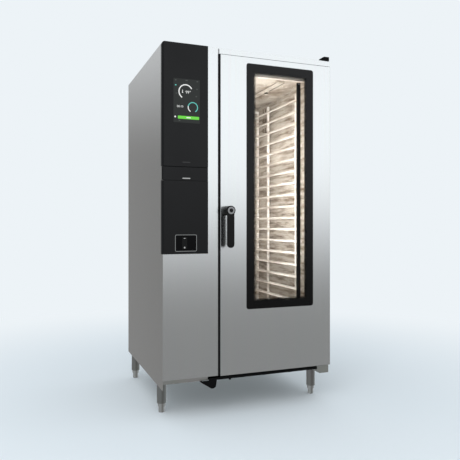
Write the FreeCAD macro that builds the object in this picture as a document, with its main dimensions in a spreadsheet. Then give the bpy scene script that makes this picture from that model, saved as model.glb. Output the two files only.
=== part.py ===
import FreeCAD, Part
import Sketcher
import math
import os
import re

# Floor-standing combi steamer oven for twenty one-over-one gastronorm levels.
# Millimetres. The origin is on the floor under the middle of the oven, +X is the
# right-hand side for someone who stands at the door, the door faces -Y, +Z is up.

doc = FreeCAD.newDocument("CombiSteamer")

sizes = {
    # casing
    "halfWidth": 464.5, "frontFace": -415, "rearFace": 482, "topFace": 1840, "sideBottom": 150,
    "baseFloor": 178.5,
    "skin": 1.5, "columnRight": -183, "columnBottom": 199, "frameFront": -333, "frameDepth": 20,
    "connectorFace": 440, "connectorTop": 300, "railBottom": 1812, "slotPitch": 12, "slotWidth": 5,
    "slotHalf": 45, "plinthRight": -234, "plinthFront": -409, "plinthRear": -395,
    # door
    "doorLeft": -169, "doorBottom": 196, "doorTop": 1810, "doorBack": -341, "panDepth": 60,
    "panSheet": 2, "windowLeft": -28, "windowRight": 359, "windowBottom": 522, "windowTop": 1781,
    "windowCorner": 13, "glass": 6, "lightLeft": 287, "lightWidth": 19, "lightBottom": 532,
    "lightTop": 1719, "lightDepth": 11, "frameInset": 1, "innerRim": 12, "glassOverlap": 2,
    "fold": 2, "seatFlange": 44, "clipFoot": 14, "clipTongue": 8, "clipHalf": 20, "clipInset": 120,
    # hinges of the door
    "hingeX": 440, "hingeY": -395, "pinRadius": 8, "bushRadius": 14, "bushLength": 30,
    "bearing": 0.05, "slip": 0.5, "bracketLeft": 382, "bracketRight": 453, "bracketBottom": 155,
    "bracketChamfer": 17, "capLeft": 412, "capRight": 456, "capFront": -418, "capRear": -382,
    "capTop": 1862, "capWall": 2, "capRound": 17,
    # cooking cavity
    "cavityLeft": -109, "cavityRight": 400, "cavityRear": 415, "cavityFloor": 300,
    "cavityCeiling": 1740, "liner": 2, "blanket": 43, "gasketWidth": 13, "gasketDepth": 7.5,
    "gasketTop": 1786,
    # air circulation
    "fanY": 50, "fanLow": 665, "fanHigh": 1375, "fanRadius": 165, "fanEye": 120, "shaftRadius": 10,
    "fanBack": -92, "fanFront": -46, "fanSheet": 2, "bladeInner": 100, "baffleLeft": -32,
    "baffleMargin": 23, "baffleGap": 30, "coilRadius": 205, "coilRod": 6, "motorRadius": 75,
    "motorLeft": -390, "motorFlange": 95, "motorWall": 7, "motorSleeve": 24, "steamX": -300,
    "steamY": 330, "steamZ": 1020, "steamRadius": 20, "steamWall": 3, "tankLeft": -440,
    "tankRight": -250, "tankFront": 150, "tankRear": 365, "tankTop": 560, "tankRound": 30,
    "tankWall": 2, "washLeft": 195, "washRight": 242, "washFront": -306, "nozzleY": -120,
    # tray rack
    "rackLeft": 5, "rackRight": 371, "postSize": 12, "frontPost": -210, "rearPost": 166,
    "stopPost": 328, "trayFront": -287, "trayRear": 334, "firstLevel": 385, "levelPitch": 67, "levels": 20,
    "shelfWidth": 14, "shelfSheet": 2, "shelfLip": 12, "rackTop": 1702, "panBottom": 350,
    "panRim": 14, "panSheetThick": 2, "castorRadius": 21, "castorWidth": 18, "castorInset": 40,
    "forkHalf": 14,
    # control fascia
    "fasciaLeft": -470, "fasciaRight": -236, "fasciaFront": -419, "fasciaThick": 10,
    "fasciaBottom": 812, "fasciaTop": 1841, "lipThick": 5, "lipDepth": 24, "fasciaEdge": 12,
    "flapTop": 1237.5, "flapBottom": 1171, "flapGap": 1.5, "flapRound": 3,
    "screenLeft": -413, "screenRight": -279,
    "screenBottom": 1453, "screenTop": 1667, "screenDepth": 16, "bezelLeft": -405,
    "bezelRight": -295, "bezelBottom": 824, "bezelTop": 906, "slotLeft": -371, "slotRight": -344,
    "slotBottom": 833, "slotTop": 897, "socketLeft": -450, "socketRight": -250, "socketX": -346,
    "socketZ": 1204,
    # handle
    "handleX": -137, "handleZ": 1025, "leverWidth": 36, "leverEnd": 840, "leverFront": -482,
    "leverThick": 13, "bossRadius": 23.5, "ringRadius": 18, "ringHole": 10, "spindle": 8,
    "camLength": 26, "camWidth": 14, "rollerRadius": 5, "rollerOffset": 19,
    # water, steam and current
    "ventX": 60, "ventY": 330, "ventRadius": 30, "ventWall": 2, "ventTop": 1862, "damperZ": 1802,
    "drainX": 135, "drainY": 340, "drainZ": 215, "drainRadius": 25, "drainWall": 3,
    "waterX": -300, "waterRadius": 13.2, "glandX": -395, "glandRadius": 20, "glandBore": 11,
    "serviceZ": 230, "stubEnd": 472, "coolX": -340, "coolZ": 960, "coolHalf": 60,
    "coolRadius": 54, "coolDepth": 38,
    # feet
    "legX": 432, "legFront": -258, "legRear": 414, "legRadius": 24, "legBottom": 47,
    "footRadius": 15.5, "footCollar": 19.5, "collarBottom": 30, "stemRadius": 10, "stemTop": 112,
    # drip channel under the door
    "trayLeft": -230, "trayRight": 381, "trayFloor": 180, "trayLip": 191, "trayBack": 205,
    "traySheet": 2, "lipSheet": 3, "spoutLeft": -270, "spoutRight": -190, "spoutLow": 139,
    "spoutRear": -375,
    # control board
    "boardLeft": -446, "boardFront": -350, "boardRear": -80, "boardLow": 900, "boardHigh": 1300,
}

sheet = doc.addObject("Spreadsheet::Sheet", "Dims")
for row, (alias, size) in enumerate(sizes.items(), start=1):
    sheet.set(f"A{row}", alias)
    sheet.set(f"B{row}", str(size))
    sheet.setAlias(f"B{row}", alias)
doc.recompute()

nodes = []
turned = {
    "x": FreeCAD.Rotation(FreeCAD.Vector(0, 1, 0), 90),
    "y": FreeCAD.Rotation(FreeCAD.Vector(1, 0, 0), -90),
    "z": FreeCAD.Rotation(),
}


def bound(text):
    """Point every word of a formula at the cell of that name."""
    return re.sub(r"[A-Za-z]\w*", lambda word: "Dims." + word.group(), text)


def node(piece, name):
    piece.Label = name
    nodes.append(piece)
    return piece


def box(name, x, y, z):
    """A block between two formulas on each axis."""
    block = doc.addObject("Part::Box", name)
    for axis, side, (low, high) in zip("xyz", ("Length", "Width", "Height"), (x, y, z)):
        block.setExpression(f"Placement.Base.{axis}", bound(low))
        block.setExpression(side, bound(f"({high}) - ({low})"))
    return block


def rod(name, axis, centre, low, high, radius):
    """A round bar along an axis; centre holds the other two coordinates in x, y, z order."""
    bar = doc.addObject("Part::Cylinder", name)
    bar.Placement = FreeCAD.Placement(FreeCAD.Vector(), turned[axis])
    others = [letter for letter in "xyz" if letter != axis]
    for letter, place in zip(others, centre):
        bar.setExpression(f"Placement.Base.{letter}", bound(place))
    bar.setExpression(f"Placement.Base.{axis}", bound(low))
    bar.setExpression("Height", bound(f"({high}) - ({low})"))
    bar.setExpression("Radius", bound(radius))
    return bar


def ball(name, centre, radius):
    sphere = doc.addObject("Part::Sphere", name)
    for letter, place in zip("xyz", centre):
        sphere.setExpression(f"Placement.Base.{letter}", bound(place))
    sphere.setExpression("Radius", bound(radius))
    return sphere


def fuse(name, *pieces):
    joined = doc.addObject("Part::MultiFuse", name)
    joined.Shapes = list(pieces)
    joined.Refine = True
    return joined


def group(name, *pieces):
    """Separate solids that share a name."""
    gathered = doc.addObject("Part::Compound", name)
    gathered.Links = list(pieces)
    return gathered


def cut(name, base, *tools):
    """Take every tool away from the base."""
    less = doc.addObject("Part::Cut", name)
    less.Base = base
    less.Tool = tools[0] if len(tools) == 1 else fuse(name + "Tools", *tools)
    less.Refine = True
    return less


def sketch(body, name, role, lift, corners):
    """A closed outline on one of the body's own planes, every corner tied to the sheet."""
    drawing = body.newObject("Sketcher::SketchObject", name)
    origin = next(item for item in body.Origin.OriginFeatures if item.Role == role)
    drawing.AttachmentSupport = (origin, [""])
    drawing.MapMode = "FlatFace"
    drawing.setExpression("AttachmentOffset.Base.z", bound(lift))
    count = len(corners)
    ring = []
    for index in range(count):
        angle = 2 * math.pi * index / count
        ring.append(FreeCAD.Vector(math.cos(angle), math.sin(angle), 0))
    for index in range(count):
        drawing.addGeometry(Part.LineSegment(ring[index], ring[(index + 1) % count]))
    for index in range(count):
        drawing.addConstraint(Sketcher.Constraint("Coincident", index, 2, (index + 1) % count, 1))
    for index, corner in enumerate(corners):
        for kind, formula in zip(("DistanceX", "DistanceY"), corner):
            number = drawing.addConstraint(Sketcher.Constraint(kind, -1, 1, index, 1, 1.0))
            drawing.setExpression(f"Constraints[{number}]", bound(formula))
    return drawing


roles = {"x": "YZ_Plane", "y": "XZ_Plane", "z": "XY_Plane"}


def pad(body, name, axis, low, high, corners):
    """Material between two places on an axis; the outline lies across that axis."""
    lift = f"-({high})" if axis == "y" else low
    feature = body.newObject("PartDesign::Pad", name)
    feature.Profile = sketch(body, name + "Outline", roles[axis], lift, corners)
    feature.setExpression("Length", bound(f"({high}) - ({low})"))
    return feature


def pocket(body, name, axis, low, high, corners):
    """The same between two places, taken away."""
    lift = f"-({low})" if axis == "y" else high
    feature = body.newObject("PartDesign::Pocket", name)
    feature.Profile = sketch(body, name + "Outline", roles[axis], lift, corners)
    feature.setExpression("Length", bound(f"({high}) - ({low})"))
    return feature


def rectangle(left, right, bottom, top):
    return [(left, bottom), (right, bottom), (right, top), (left, top)]


def rounding(body, name, base, radius, chosen):
    """Round the straight edges whose middle and direction the test accepts."""
    doc.recompute()
    picked = []
    for number, edge in enumerate(base.Shape.Edges, start=1):
        if edge.Curve.TypeId != "Part::GeomLine":
            continue
        if chosen(edge.CenterOfMass, edge.Curve.Direction, base.Shape.BoundBox):
            picked.append(f"Edge{number}")
    feature = body.newObject("PartDesign::Fillet", name)
    feature.Base = (base, picked)
    feature.setExpression("Radius", bound(radius))
    return feature


def alongY(middle, direction, bounds):
    return abs(direction.y) > 0.99


def newBody(name):
    return doc.addObject("PartDesign::Body", name)


# casing -----------------------------------------------------------------------

def sidePanels():
    height = ("sideBottom", "topFace - skin")
    left = box("leftSide", ("-halfWidth", "skin - halfWidth"),
               ("fasciaFront + fasciaThick", "rearFace"), height)
    right = box("rightSide", ("halfWidth - skin", "halfWidth"), ("frameFront", "rearFace"), height)
    node(left, "left_side_panel")
    node(right, "right_side_panel")


def rearPanel():
    back = box("rearSheet", ("skin - halfWidth", "halfWidth - skin"), ("rearFace - skin", "rearFace"),
                ("connectorTop", "topFace - skin"))
    slots = []
    for index in range(9):
        low = f"coolZ + {index - 4} * slotPitch"
        slots.append(box(f"rearSlot{index}", ("coolX - slotHalf", "coolX + slotHalf"),
                         ("rearFace - 5", "rearFace + 5"), (low, f"{low} + slotWidth")))
    node(cut("rearPanel", back, *slots), "rear_panel")


def connectionPanel():
    plate = box("connectorSheet", ("skin - halfWidth", "halfWidth - skin"),
                ("connectorFace", "connectorFace + skin"), ("baseFloor + skin", "connectorTop"))
    ledge = box("connectorLedge", ("skin - halfWidth", "halfWidth - skin"),
                ("connectorFace + skin", "rearFace - skin"), ("connectorTop - skin", "connectorTop"))
    depth = ("connectorFace - 5", "connectorFace + 5")
    holes = [
        rod("drainHole", "y", ("drainX", "drainZ"), *depth, "drainRadius + slip"),
        rod("waterHole", "y", ("waterX", "serviceZ"), *depth, "waterRadius + slip"),
        rod("glandHole", "y", ("glandX", "serviceZ"), *depth, "glandRadius + slip"),
    ]
    node(cut("connectionPanel", fuse("connectorFold", plate, ledge), *holes), "connection_panel")


def topPanel():
    body = newBody("topSheet")
    back = "fasciaFront + fasciaThick"
    pad(body, "topPad", "z", "topFace - skin", "topFace", [
        ("-halfWidth", back), ("fasciaRight", back), ("fasciaRight", "frontFace"),
        ("halfWidth", "frontFace"), ("halfWidth", "rearFace"), ("-halfWidth", "rearFace")])
    height = ("topFace - 5", "topFace + 5")
    holes = [
        rod("ventHole", "z", ("ventX", "ventY"), *height, "ventRadius + slip"),
        rod("topPinHole", "z", ("hingeX", "hingeY"), *height, "pinRadius + slip"),
    ]
    node(cut("topPanel", body, *holes), "top_panel")


def baseTray():
    floor = ("baseFloor", "baseFloor + skin")
    main = box("baseMain", ("skin - halfWidth", "halfWidth - skin"),
               ("frameFront", "connectorFace + skin"), floor)
    front = box("baseColumn", ("skin - halfWidth", "columnRight - skin"),
                ("spoutRear + 5", "frameFront"), floor)
    node(fuse("baseTray", main, front), "base_tray")


def columnFrontPanel():
    face = ("frontFace", "frontFace + skin")
    strip = box("columnStrip", ("fasciaRight", "columnRight"), face, ("columnBottom", "topFace - skin"))
    lower = box("columnLower", ("-halfWidth", "fasciaRight"), face, ("columnBottom", "fasciaBottom - 1"))
    edge = box("columnEdge", ("-halfWidth", "skin - halfWidth"),
               ("frontFace + skin", "fasciaFront + fasciaThick"), ("columnBottom", "fasciaBottom - 1"))
    inner = box("columnInner", ("columnRight - skin", "columnRight"), ("frontFace + skin", "frameFront"),
                ("columnBottom", "topFace - skin"))
    node(fuse("columnPanel", strip, lower, edge, inner), "column_front_panel")


def topRail():
    front = box("railFront", ("columnRight", "halfWidth"), ("frontFace", "frontFace + skin"),
                ("railBottom", "topFace - skin"))
    under = box("railUnder", ("columnRight", "halfWidth"), ("frontFace + skin", "frameFront"),
                ("railBottom", "railBottom + skin"))
    end = box("railEnd", ("halfWidth - skin", "halfWidth"), ("frontFace + skin", "frameFront"),
              ("railBottom + skin", "topFace - skin"))
    hole = rod("railPinHole", "z", ("hingeX", "hingeY"), "railBottom - 5", "railBottom + 5",
               "pinRadius + slip")
    node(cut("topRail", fuse("railFold", front, under, end), hole), "top_rail")


def baseRail():
    """Set-back strip that closes the foot of the column, with a fold that rests on the base."""
    front = box("railFace", ("skin - halfWidth", "plinthRight"), ("plinthFront", "plinthFront + skin"),
                ("trayFloor", "columnBottom"))
    fold = box("railFold", ("skin - halfWidth", "spoutLeft - 2"), ("plinthFront + skin", "frameFront"),
               ("trayFloor", "trayFloor + skin"))
    node(fuse("baseRail", front, fold), "base_rail")


def channelBar(name, x, z):
    """Folded bar of the front frame: closed in front and round its edge, open behind."""
    blank = box(name + "Blank", x, ("frameFront", "frameFront + frameDepth"), z)
    inside = box(name + "Inside", (f"{x[0]} + fold", f"{x[1]} - fold"),
                 ("frameFront + fold", "frameFront + frameDepth + 5"), (f"{z[0]} + fold", f"{z[1]} - fold"))
    return cut(name, blank, inside)


def frontFrame():
    bottom, top = "baseFloor + skin", "topFace - skin"
    bars = [
        channelBar("frameLeft", ("columnRight", "cavityLeft"), (bottom, top)),
        channelBar("frameRight", ("cavityRight", "halfWidth - skin"), (bottom, top)),
        channelBar("frameTop", ("cavityLeft", "cavityRight"), ("cavityCeiling", top)),
        channelBar("frameBottom", ("cavityLeft", "cavityRight"), (bottom, "cavityFloor")),
    ]
    node(group("frontFrame", *bars), "front_frame")


def doorGasket():
    """Four mitred lengths of seal round the mouth of the cavity, above the window at the top."""
    low = ("cavityLeft", "cavityFloor")
    high = ("cavityRight", "gasketTop")
    outer = [(low[0] + " - gasketWidth", low[1] + " - gasketWidth"),
             (high[0] + " + gasketWidth", low[1] + " - gasketWidth"),
             (high[0] + " + gasketWidth", high[1] + " + gasketWidth"),
             (low[0] + " - gasketWidth", high[1] + " + gasketWidth")]
    inner = [(low[0], low[1]), (high[0], low[1]), (high[0], high[1]), (low[0], high[1])]
    lengths = []
    for side in range(4):
        following = (side + 1) % 4
        body = newBody(f"gasketLength{side}")
        pad(body, f"gasketPad{side}", "y", "frameFront - gasketDepth", "frameFront",
            [outer[side], outer[following], inner[following], inner[side]])
        lengths.append(body)
    node(group("doorGasket", *lengths), "door_gasket")


# cooking cavity ---------------------------------------------------------------

def cavityLiner():
    front = "frameFront + frameDepth"
    shell = box("linerOuter", ("cavityLeft - liner", "cavityRight + liner"), (front, "cavityRear + liner"),
                ("cavityFloor - liner", "cavityCeiling + liner"))
    room = box("linerInner", ("cavityLeft", "cavityRight"), (f"{front} - 5", "cavityRear"),
               ("cavityFloor", "cavityCeiling"))
    across = ("cavityLeft - 10", "cavityLeft + 10")
    holes = [
        rod("linerShaftLow", "x", ("fanY", "fanLow"), *across, "shaftRadius + 2"),
        rod("linerShaftHigh", "x", ("fanY", "fanHigh"), *across, "shaftRadius + 2"),
        rod("linerSteam", "x", ("steamY", "steamZ"), *across, "steamRadius - steamWall"),
        rod("linerDrain", "z", ("drainX", "drainY"), "cavityFloor - 10", "cavityFloor + 10",
            "drainRadius - drainWall"),
        rod("linerVent", "z", ("ventX", "ventY"), "cavityCeiling - 10", "cavityCeiling + 10",
            "ventRadius - ventWall"),
    ]
    node(cut("cavityLiner", shell, room, *holes), "cavity_liner")


def cavityInsulation():
    """Mineral wool slabs behind the five walls."""
    front = "frameFront + frameDepth"
    rear = "cavityRear + liner"
    tall = ("cavityFloor - liner", "cavityCeiling + liner")
    wide = ("cavityLeft - liner", "cavityRight + liner")
    left = box("woolLeft", ("cavityLeft - liner - blanket", "cavityLeft - liner"), (front, rear), tall)
    depth = ("cavityLeft - 80", "cavityLeft + 5")
    openings = [
        rod("woolShaftLow", "x", ("fanY", "fanLow"), *depth, "shaftRadius + 4"),
        rod("woolShaftHigh", "x", ("fanY", "fanHigh"), *depth, "shaftRadius + 4"),
        rod("woolSteam", "x", ("steamY", "steamZ"), *depth, "steamRadius + 1"),
    ]
    over = box("woolTop", wide, (front, rear), ("cavityCeiling + liner", "cavityCeiling + liner + blanket"))
    chimney = rod("woolVent", "z", ("ventX", "ventY"), "cavityCeiling - 10", "topFace", "ventRadius + 1")
    under = box("woolBottom", wide, (front, rear), ("cavityFloor - liner - blanket", "cavityFloor - liner"))
    sump = rod("woolDrain", "z", ("drainX", "drainY"), "cavityFloor - 80", "cavityFloor", "drainRadius + 1")
    slabs = [
        cut("woolLeftCut", left, *openings),
        box("woolRight", ("cavityRight + liner", "cavityRight + liner + blanket"), (front, rear), tall),
        box("woolRear", wide, (rear, "cavityRear + liner + blanket"), ("connectorTop", tall[1])),
        cut("woolTopCut", over, chimney),
        cut("woolBottomCut", under, sump),
    ]
    node(group("cavityInsulation", *slabs), "cavity_insulation")


def fanBaffle():
    """Sheet in front of the fans, on four welded stand-offs, with an eye for each fan."""
    low, high = "frameFront + frameDepth + baffleMargin", "cavityRear - baffleMargin"
    bottom, top = "cavityFloor + baffleGap", "cavityCeiling - baffleGap"
    plate = box("baffleSheet", ("baffleLeft", "baffleLeft + liner"), (low, high), (bottom, top))
    eyes = [
        rod("baffleEyeLow", "x", ("fanY", "fanLow"), "baffleLeft - 5", "baffleLeft + 5", "fanEye"),
        rod("baffleEyeHigh", "x", ("fanY", "fanHigh"), "baffleLeft - 5", "baffleLeft + 5", "fanEye"),
    ]
    studs = []
    for name, across in (("Front", f"{low} + 20"), ("Rear", f"{high} - 20")):
        for level, place in (("Low", f"{bottom} + 60"), ("High", f"{top} - 60")):
            studs.append(rod(f"baffleStud{name}{level}", "x", (across, place), "cavityLeft", "baffleLeft",
                             "7"))
    node(fuse("fanBaffle", cut("bafflePlate", plate, *eyes), *studs), "fan_baffle")


def fanWheel(name, height):
    """Radial wheel with its shaft: back plate, blades, front ring and hub."""
    blades = 12
    back = rod(name + "Back", "x", ("fanY", height), "fanBack", "fanBack + fanSheet", "fanRadius")
    ring = cut(name + "Ring",
               rod(name + "Rim", "x", ("fanY", height), "fanFront - fanSheet", "fanFront", "fanRadius"),
               rod(name + "Eye", "x", ("fanY", height), "fanFront - 10", "fanFront + 10", "fanEye - 5"))
    hub = rod(name + "Hub", "x", ("fanY", height), "fanBack", "fanFront - 12", "22")
    shaft = rod(name + "Shaft", "x", ("fanY", height), "motorLeft + 15", "fanFront - 12", "shaftRadius")
    vanes = []
    for index in range(blades):
        vane = doc.addObject("Part::Box", f"{name}Vane{index}")
        vane.setExpression("Length", bound("fanFront - fanBack - 2 * fanSheet"))
        vane.setExpression("Width", bound("fanRadius - bladeInner - 2"))
        vane.setExpression("Height", bound("fanSheet"))
        spin = FreeCAD.Rotation(FreeCAD.Vector(1, 0, 0), 360 / blades * index)
        centre = FreeCAD.Vector(sizes["fanBack"] + sizes["fanSheet"], sizes["fanY"], sizes[height])
        reach = spin.multVec(FreeCAD.Vector(0, sizes["bladeInner"], 0))
        vane.Placement = FreeCAD.Placement(centre + reach, spin)
        vanes.append(vane)
    return fuse(name, back, ring, hub, shaft, *vanes)


def heatingCoil(name, height):
    """Three heater rings on two holders, round one fan wheel."""
    rings = []
    for index in range(3):
        ring = doc.addObject("Part::Torus", f"{name}Ring{index}")
        ring.Placement = FreeCAD.Placement(FreeCAD.Vector(), turned["x"])
        ring.setExpression("Placement.Base.x", bound(f"fanBack + {index} * 22"))
        ring.setExpression("Placement.Base.y", bound("fanY"))
        ring.setExpression("Placement.Base.z", bound(height))
        ring.setExpression("Radius1", bound("coilRadius"))
        ring.setExpression("Radius2", bound("coilRod"))
        rings.append(ring)
    holders = []
    for side, sign in (("Front", "-"), ("Rear", "+")):
        middle = f"fanY {sign} coilRadius"
        holders.append(box(f"{name}Holder{side}", ("cavityLeft", "fanFront"),
                           (f"{middle} - 5", f"{middle} + 5"), (f"{height} - 9", f"{height} + 9")))
    return fuse(name, *rings, *holders)


def fanMotor(name, height):
    """Motor on the column side of the cavity wall: flange, cast case and the sleeve of the fan shaft."""
    wall = "cavityLeft - liner - blanket"
    middle = ("fanY", height)
    flange = rod(name + "Flange", "x", middle, f"{wall} - 15", wall, "motorFlange")
    case = rod(name + "Case", "x", middle, "motorLeft", f"{wall} - 15", "motorRadius")
    room = rod(name + "Room", "x", middle, "motorLeft - 5", f"{wall} - 15", "motorRadius - motorWall")
    sleeve = rod(name + "Sleeve", "x", middle, "motorLeft", f"{wall} - 15", "motorSleeve")
    bore = rod(name + "Bore", "x", middle, "motorLeft + 10", "cavityLeft", "shaftRadius + bearing")
    shell = fuse(name + "Body", flange, cut(name + "Shell", case, room), sleeve)
    return cut(name, shell, bore)


def airCirculation():
    node(fanWheel("wheelHigh", "fanHigh"), "fan_wheel_upper")
    node(fanWheel("wheelLow", "fanLow"), "fan_wheel_lower")
    node(group("heatingCoils", heatingCoil("coilHigh", "fanHigh"), heatingCoil("coilLow", "fanLow")),
         "heating_coils")
    node(group("fanMotors", fanMotor("motorHigh", "fanHigh"), fanMotor("motorLow", "fanLow")), "fan_motors")


def washChannel():
    """Channel along the ceiling with the wash nozzle under it."""
    channel = box("washBox", ("washLeft", "washRight"), ("washFront", "cavityRear"),
                  ("cavityCeiling - 12", "cavityCeiling"))
    middle = ("(washLeft + washRight) / 2", "nozzleY")
    nozzle = fuse("washNozzle",
                  rod("washCollar", "z", middle, "cavityCeiling - 20", "cavityCeiling - 12", "16"),
                  rod("washTip", "z", middle, "cavityCeiling - 34", "cavityCeiling - 20", "9"))
    node(group("washGroup", channel, nozzle), "wash_channel")


# tray rack --------------------------------------------------------------------

def rackLadder(name, outer, into):
    """Two posts and twenty angle shelves; into is the sign of the way to the trays."""
    def across(near, far):
        edges = (f"{outer} {into} ({near})", f"{outer} {into} ({far})")
        return edges if into == "+" else edges[::-1]

    members = []
    for post in ("frontPost", "rearPost", "stopPost"):
        members.append(box(name + post, across("0", "postSize"),
                           (f"{post} - postSize / 2", f"{post} + postSize / 2"),
                           ("panBottom + panRim", "rackTop")))
    for level in range(sizes["levels"]):
        height = f"firstLevel + {level} * levelPitch"
        members.append(box(f"{name}Shelf{level}", across("postSize", "postSize + shelfWidth"),
                           ("trayFront", "trayRear"), (height, f"{height} + shelfSheet")))
        members.append(box(f"{name}Guard{level}", across("postSize", "postSize + shelfSheet"),
                           ("trayFront", "trayRear"), (f"{height} + shelfSheet", f"{height} + shelfLip")))
    return group(name, *members)


def trayRack():
    node(rackLadder("ladderRight", "rackRight", "-"), "rack_ladder_right")
    node(rackLadder("ladderLeft", "rackLeft", "+"), "rack_ladder_left")
    pan = cut("rackPan",
              box("panOuter", ("rackLeft", "rackRight"), ("trayFront", "trayRear"),
                  ("panBottom", "panBottom + panRim")),
              box("panInner", ("rackLeft + postSize", "rackRight - postSize"),
                  ("trayFront + postSize", "trayRear - postSize"),
                  ("panBottom + panSheetThick", "panBottom + 30")))
    bar = box("rackBar", ("rackLeft + postSize", "rackRight - postSize"),
              ("stopPost - postSize / 2", "stopPost + postSize / 2"), ("rackTop - postSize", "rackTop"))
    castors = []
    for side in ("rackLeft + castorInset", "rackRight - castorInset"):
        for post in ("frontPost", "rearPost"):
            name = f"castor{len(castors) // 2}"
            wheel = rod(name + "Wheel", "x", (post, "cavityFloor + castorRadius"),
                        f"{side} - castorWidth / 2", f"{side} + castorWidth / 2", "castorRadius")
            fork = cut(name + "Fork",
                       box(name + "Yoke", (f"{side} - forkHalf", f"{side} + forkHalf"),
                           (f"{post} - 12", f"{post} + 12"), ("cavityFloor + 14", "panBottom")),
                       box(name + "Slot", (f"{side} - castorWidth / 2", f"{side} + castorWidth / 2"),
                           (f"{post} - 30", f"{post} + 30"), ("cavityFloor", "cavityFloor + 44")))
            castors += [wheel, fork]
    node(group("rackFrame", pan, bar, *castors), "rack_frame")


# control fascia ---------------------------------------------------------------

def fasciaShell(name, low, high, back, lip, right="fasciaRight"):
    """Slice of the fascia: flat front, rounded left edge and a lip round the side."""
    body = newBody(name)
    inner = "fasciaLeft + lipThick"
    corners = [("fasciaLeft", "fasciaFront"), (right, "fasciaFront"), (right, back),
               (inner, back)]
    if lip:
        corners += [(inner, "fasciaFront + lipDepth"), ("fasciaLeft", "fasciaFront + lipDepth")]
    else:
        corners[-1] = ("fasciaLeft", back)
    shell = pad(body, name + "Pad", "z", low, high, corners)

    def frontLeft(middle, direction, bounds):
        return abs(direction.z) > 0.99 and middle.x < bounds.XMin + 0.1 and middle.y < bounds.YMin + 0.1

    rounding(body, name + "Edge", shell, "fasciaEdge" if lip else "fasciaEdge - 4", frontLeft)
    return body


def controlFascia():
    upper = fasciaShell("fasciaUpper", "flapTop + flapGap", "fasciaTop", "fasciaFront + fasciaThick", True)
    screenHole = box("screenHole", ("screenLeft", "screenRight"), ("fasciaFront - 10", "fasciaFront + 30"),
                     ("screenBottom", "screenTop"))
    corner = 14
    waste = cut("fasciaCorner",
                box("cornerBlock", ("fasciaLeft - 1", f"fasciaLeft + {corner}"),
                    ("fasciaFront - 1", "fasciaFront + lipDepth + 1"),
                    (f"fasciaTop - {corner}", "fasciaTop + 1")),
                rod("cornerRound", "y", (f"fasciaLeft + {corner}", f"fasciaTop - {corner}"),
                    "fasciaFront - 2", "fasciaFront + lipDepth + 2", f"{corner}"))
    node(cut("fasciaTopPiece", upper, screenHole, waste), "control_fascia")
    node(box("screen", ("screenLeft", "screenRight"), ("fasciaFront", "fasciaFront + screenDepth"),
             ("screenBottom", "screenTop")), "display_panel")
    lower = fasciaShell("fasciaLower", "fasciaBottom", "flapBottom - flapGap",
                        "fasciaFront + fasciaThick", True)
    bezelHole = box("bezelHole", ("bezelLeft", "bezelRight"), ("fasciaFront - 10", "fasciaFront + 30"),
                    ("bezelBottom", "bezelTop"))
    node(cut("fasciaLowPiece", lower, bezelHole), "lower_fascia")
    flap = fasciaShell("flap", "flapBottom", "flapTop", "fasciaFront + fasciaThick - 1", False,
                       "fasciaRight - slip")

    def frontTop(middle, direction, bounds):
        return abs(direction.x) > 0.99 and middle.y < bounds.YMin + 0.1 and middle.z > bounds.ZMax - 0.1

    rounding(flap, "flapHingeRound", flap.Tip, "flapRound", frontTop)
    node(flap, "service_flap")


def socketPlate():
    """Plate behind the service flap with its data socket."""
    back = "fasciaFront + fasciaThick"
    plate = box("socketSheet", ("socketLeft", "socketRight"), (back, f"{back} + 2"),
                ("flapBottom - 20", "flapTop + 20"))
    hole = box("socketMouth", ("socketX - 7", "socketX + 7"), (f"{back} - 5", f"{back} + 10"),
               ("socketZ - 3", "socketZ + 3"))
    case = box("socketCase", ("socketX - 10", "socketX + 10"), (f"{back} + 2", f"{back} + 18"),
               ("socketZ - 7", "socketZ + 7"))
    node(cut("socketPlate", fuse("socketBody", plate, case), hole), "socket_plate")


def powerRocker():
    body = newBody("bezelPlate")
    pad(body, "bezelPad", "y", "fasciaFront - 0.6", "fasciaFront + 14",
        rectangle("bezelLeft", "bezelRight", "bezelBottom", "bezelTop"))
    hole = box("rockerHole", ("slotLeft", "slotRight"), ("fasciaFront - 10", "fasciaFront + 30"),
               ("slotBottom", "slotTop"))
    middle = "(slotBottom + slotTop) / 2"
    pivot = "fasciaFront + 9"
    pinHole = rod("rockerPinHole", "x", (pivot, middle), "slotLeft - 3", "slotRight + 3", "2 + bearing")
    node(cut("rockerBezel", body, hole, pinHole), "rocker_bezel")
    key = box("rockerKey", ("slotLeft + 0.6", "slotRight - 0.6"), ("fasciaFront - 2", "fasciaFront + 12"),
              (f"{middle} - 30", f"{middle} + 30"))
    pin = rod("rockerPin", "x", (pivot, middle), "slotLeft - 2.5", "slotRight + 2.5", "2")
    node(fuse("rocker", key, pin), "power_rocker")


def electronics():
    """Control board on stand-offs off the left side panel."""
    face = "boardLeft + 2"
    parts = [box("boardSheet", ("boardLeft", face), ("boardFront", "boardRear"), ("boardLow", "boardHigh"))]
    for index, (across, up, long, high, out) in enumerate((
            (20, 30, 70, 80, 32), (120, 30, 80, 110, 24), (20, 160, 40, 140, 20), (110, 220, 130, 40, 16),
            (130, 300, 90, 70, 28))):
        near, low = f"boardFront + {across}", f"boardLow + {up}"
        parts.append(box(f"boardPart{index}", (face, f"{face} + {out}"), (near, f"{near} + {long}"),
                         (low, f"{low} + {high}")))
    for end, across in (("Front", "boardFront + 10"), ("Rear", "boardRear - 10")):
        for level, height in (("Low", "boardLow + 15"), ("High", "boardHigh - 15")):
            parts.append(rod(f"standoff{end}{level}", "x", (across, height), "skin - halfWidth",
                             "boardLeft", "5"))
    node(fuse("mainBoard", *parts), "main_board")


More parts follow.
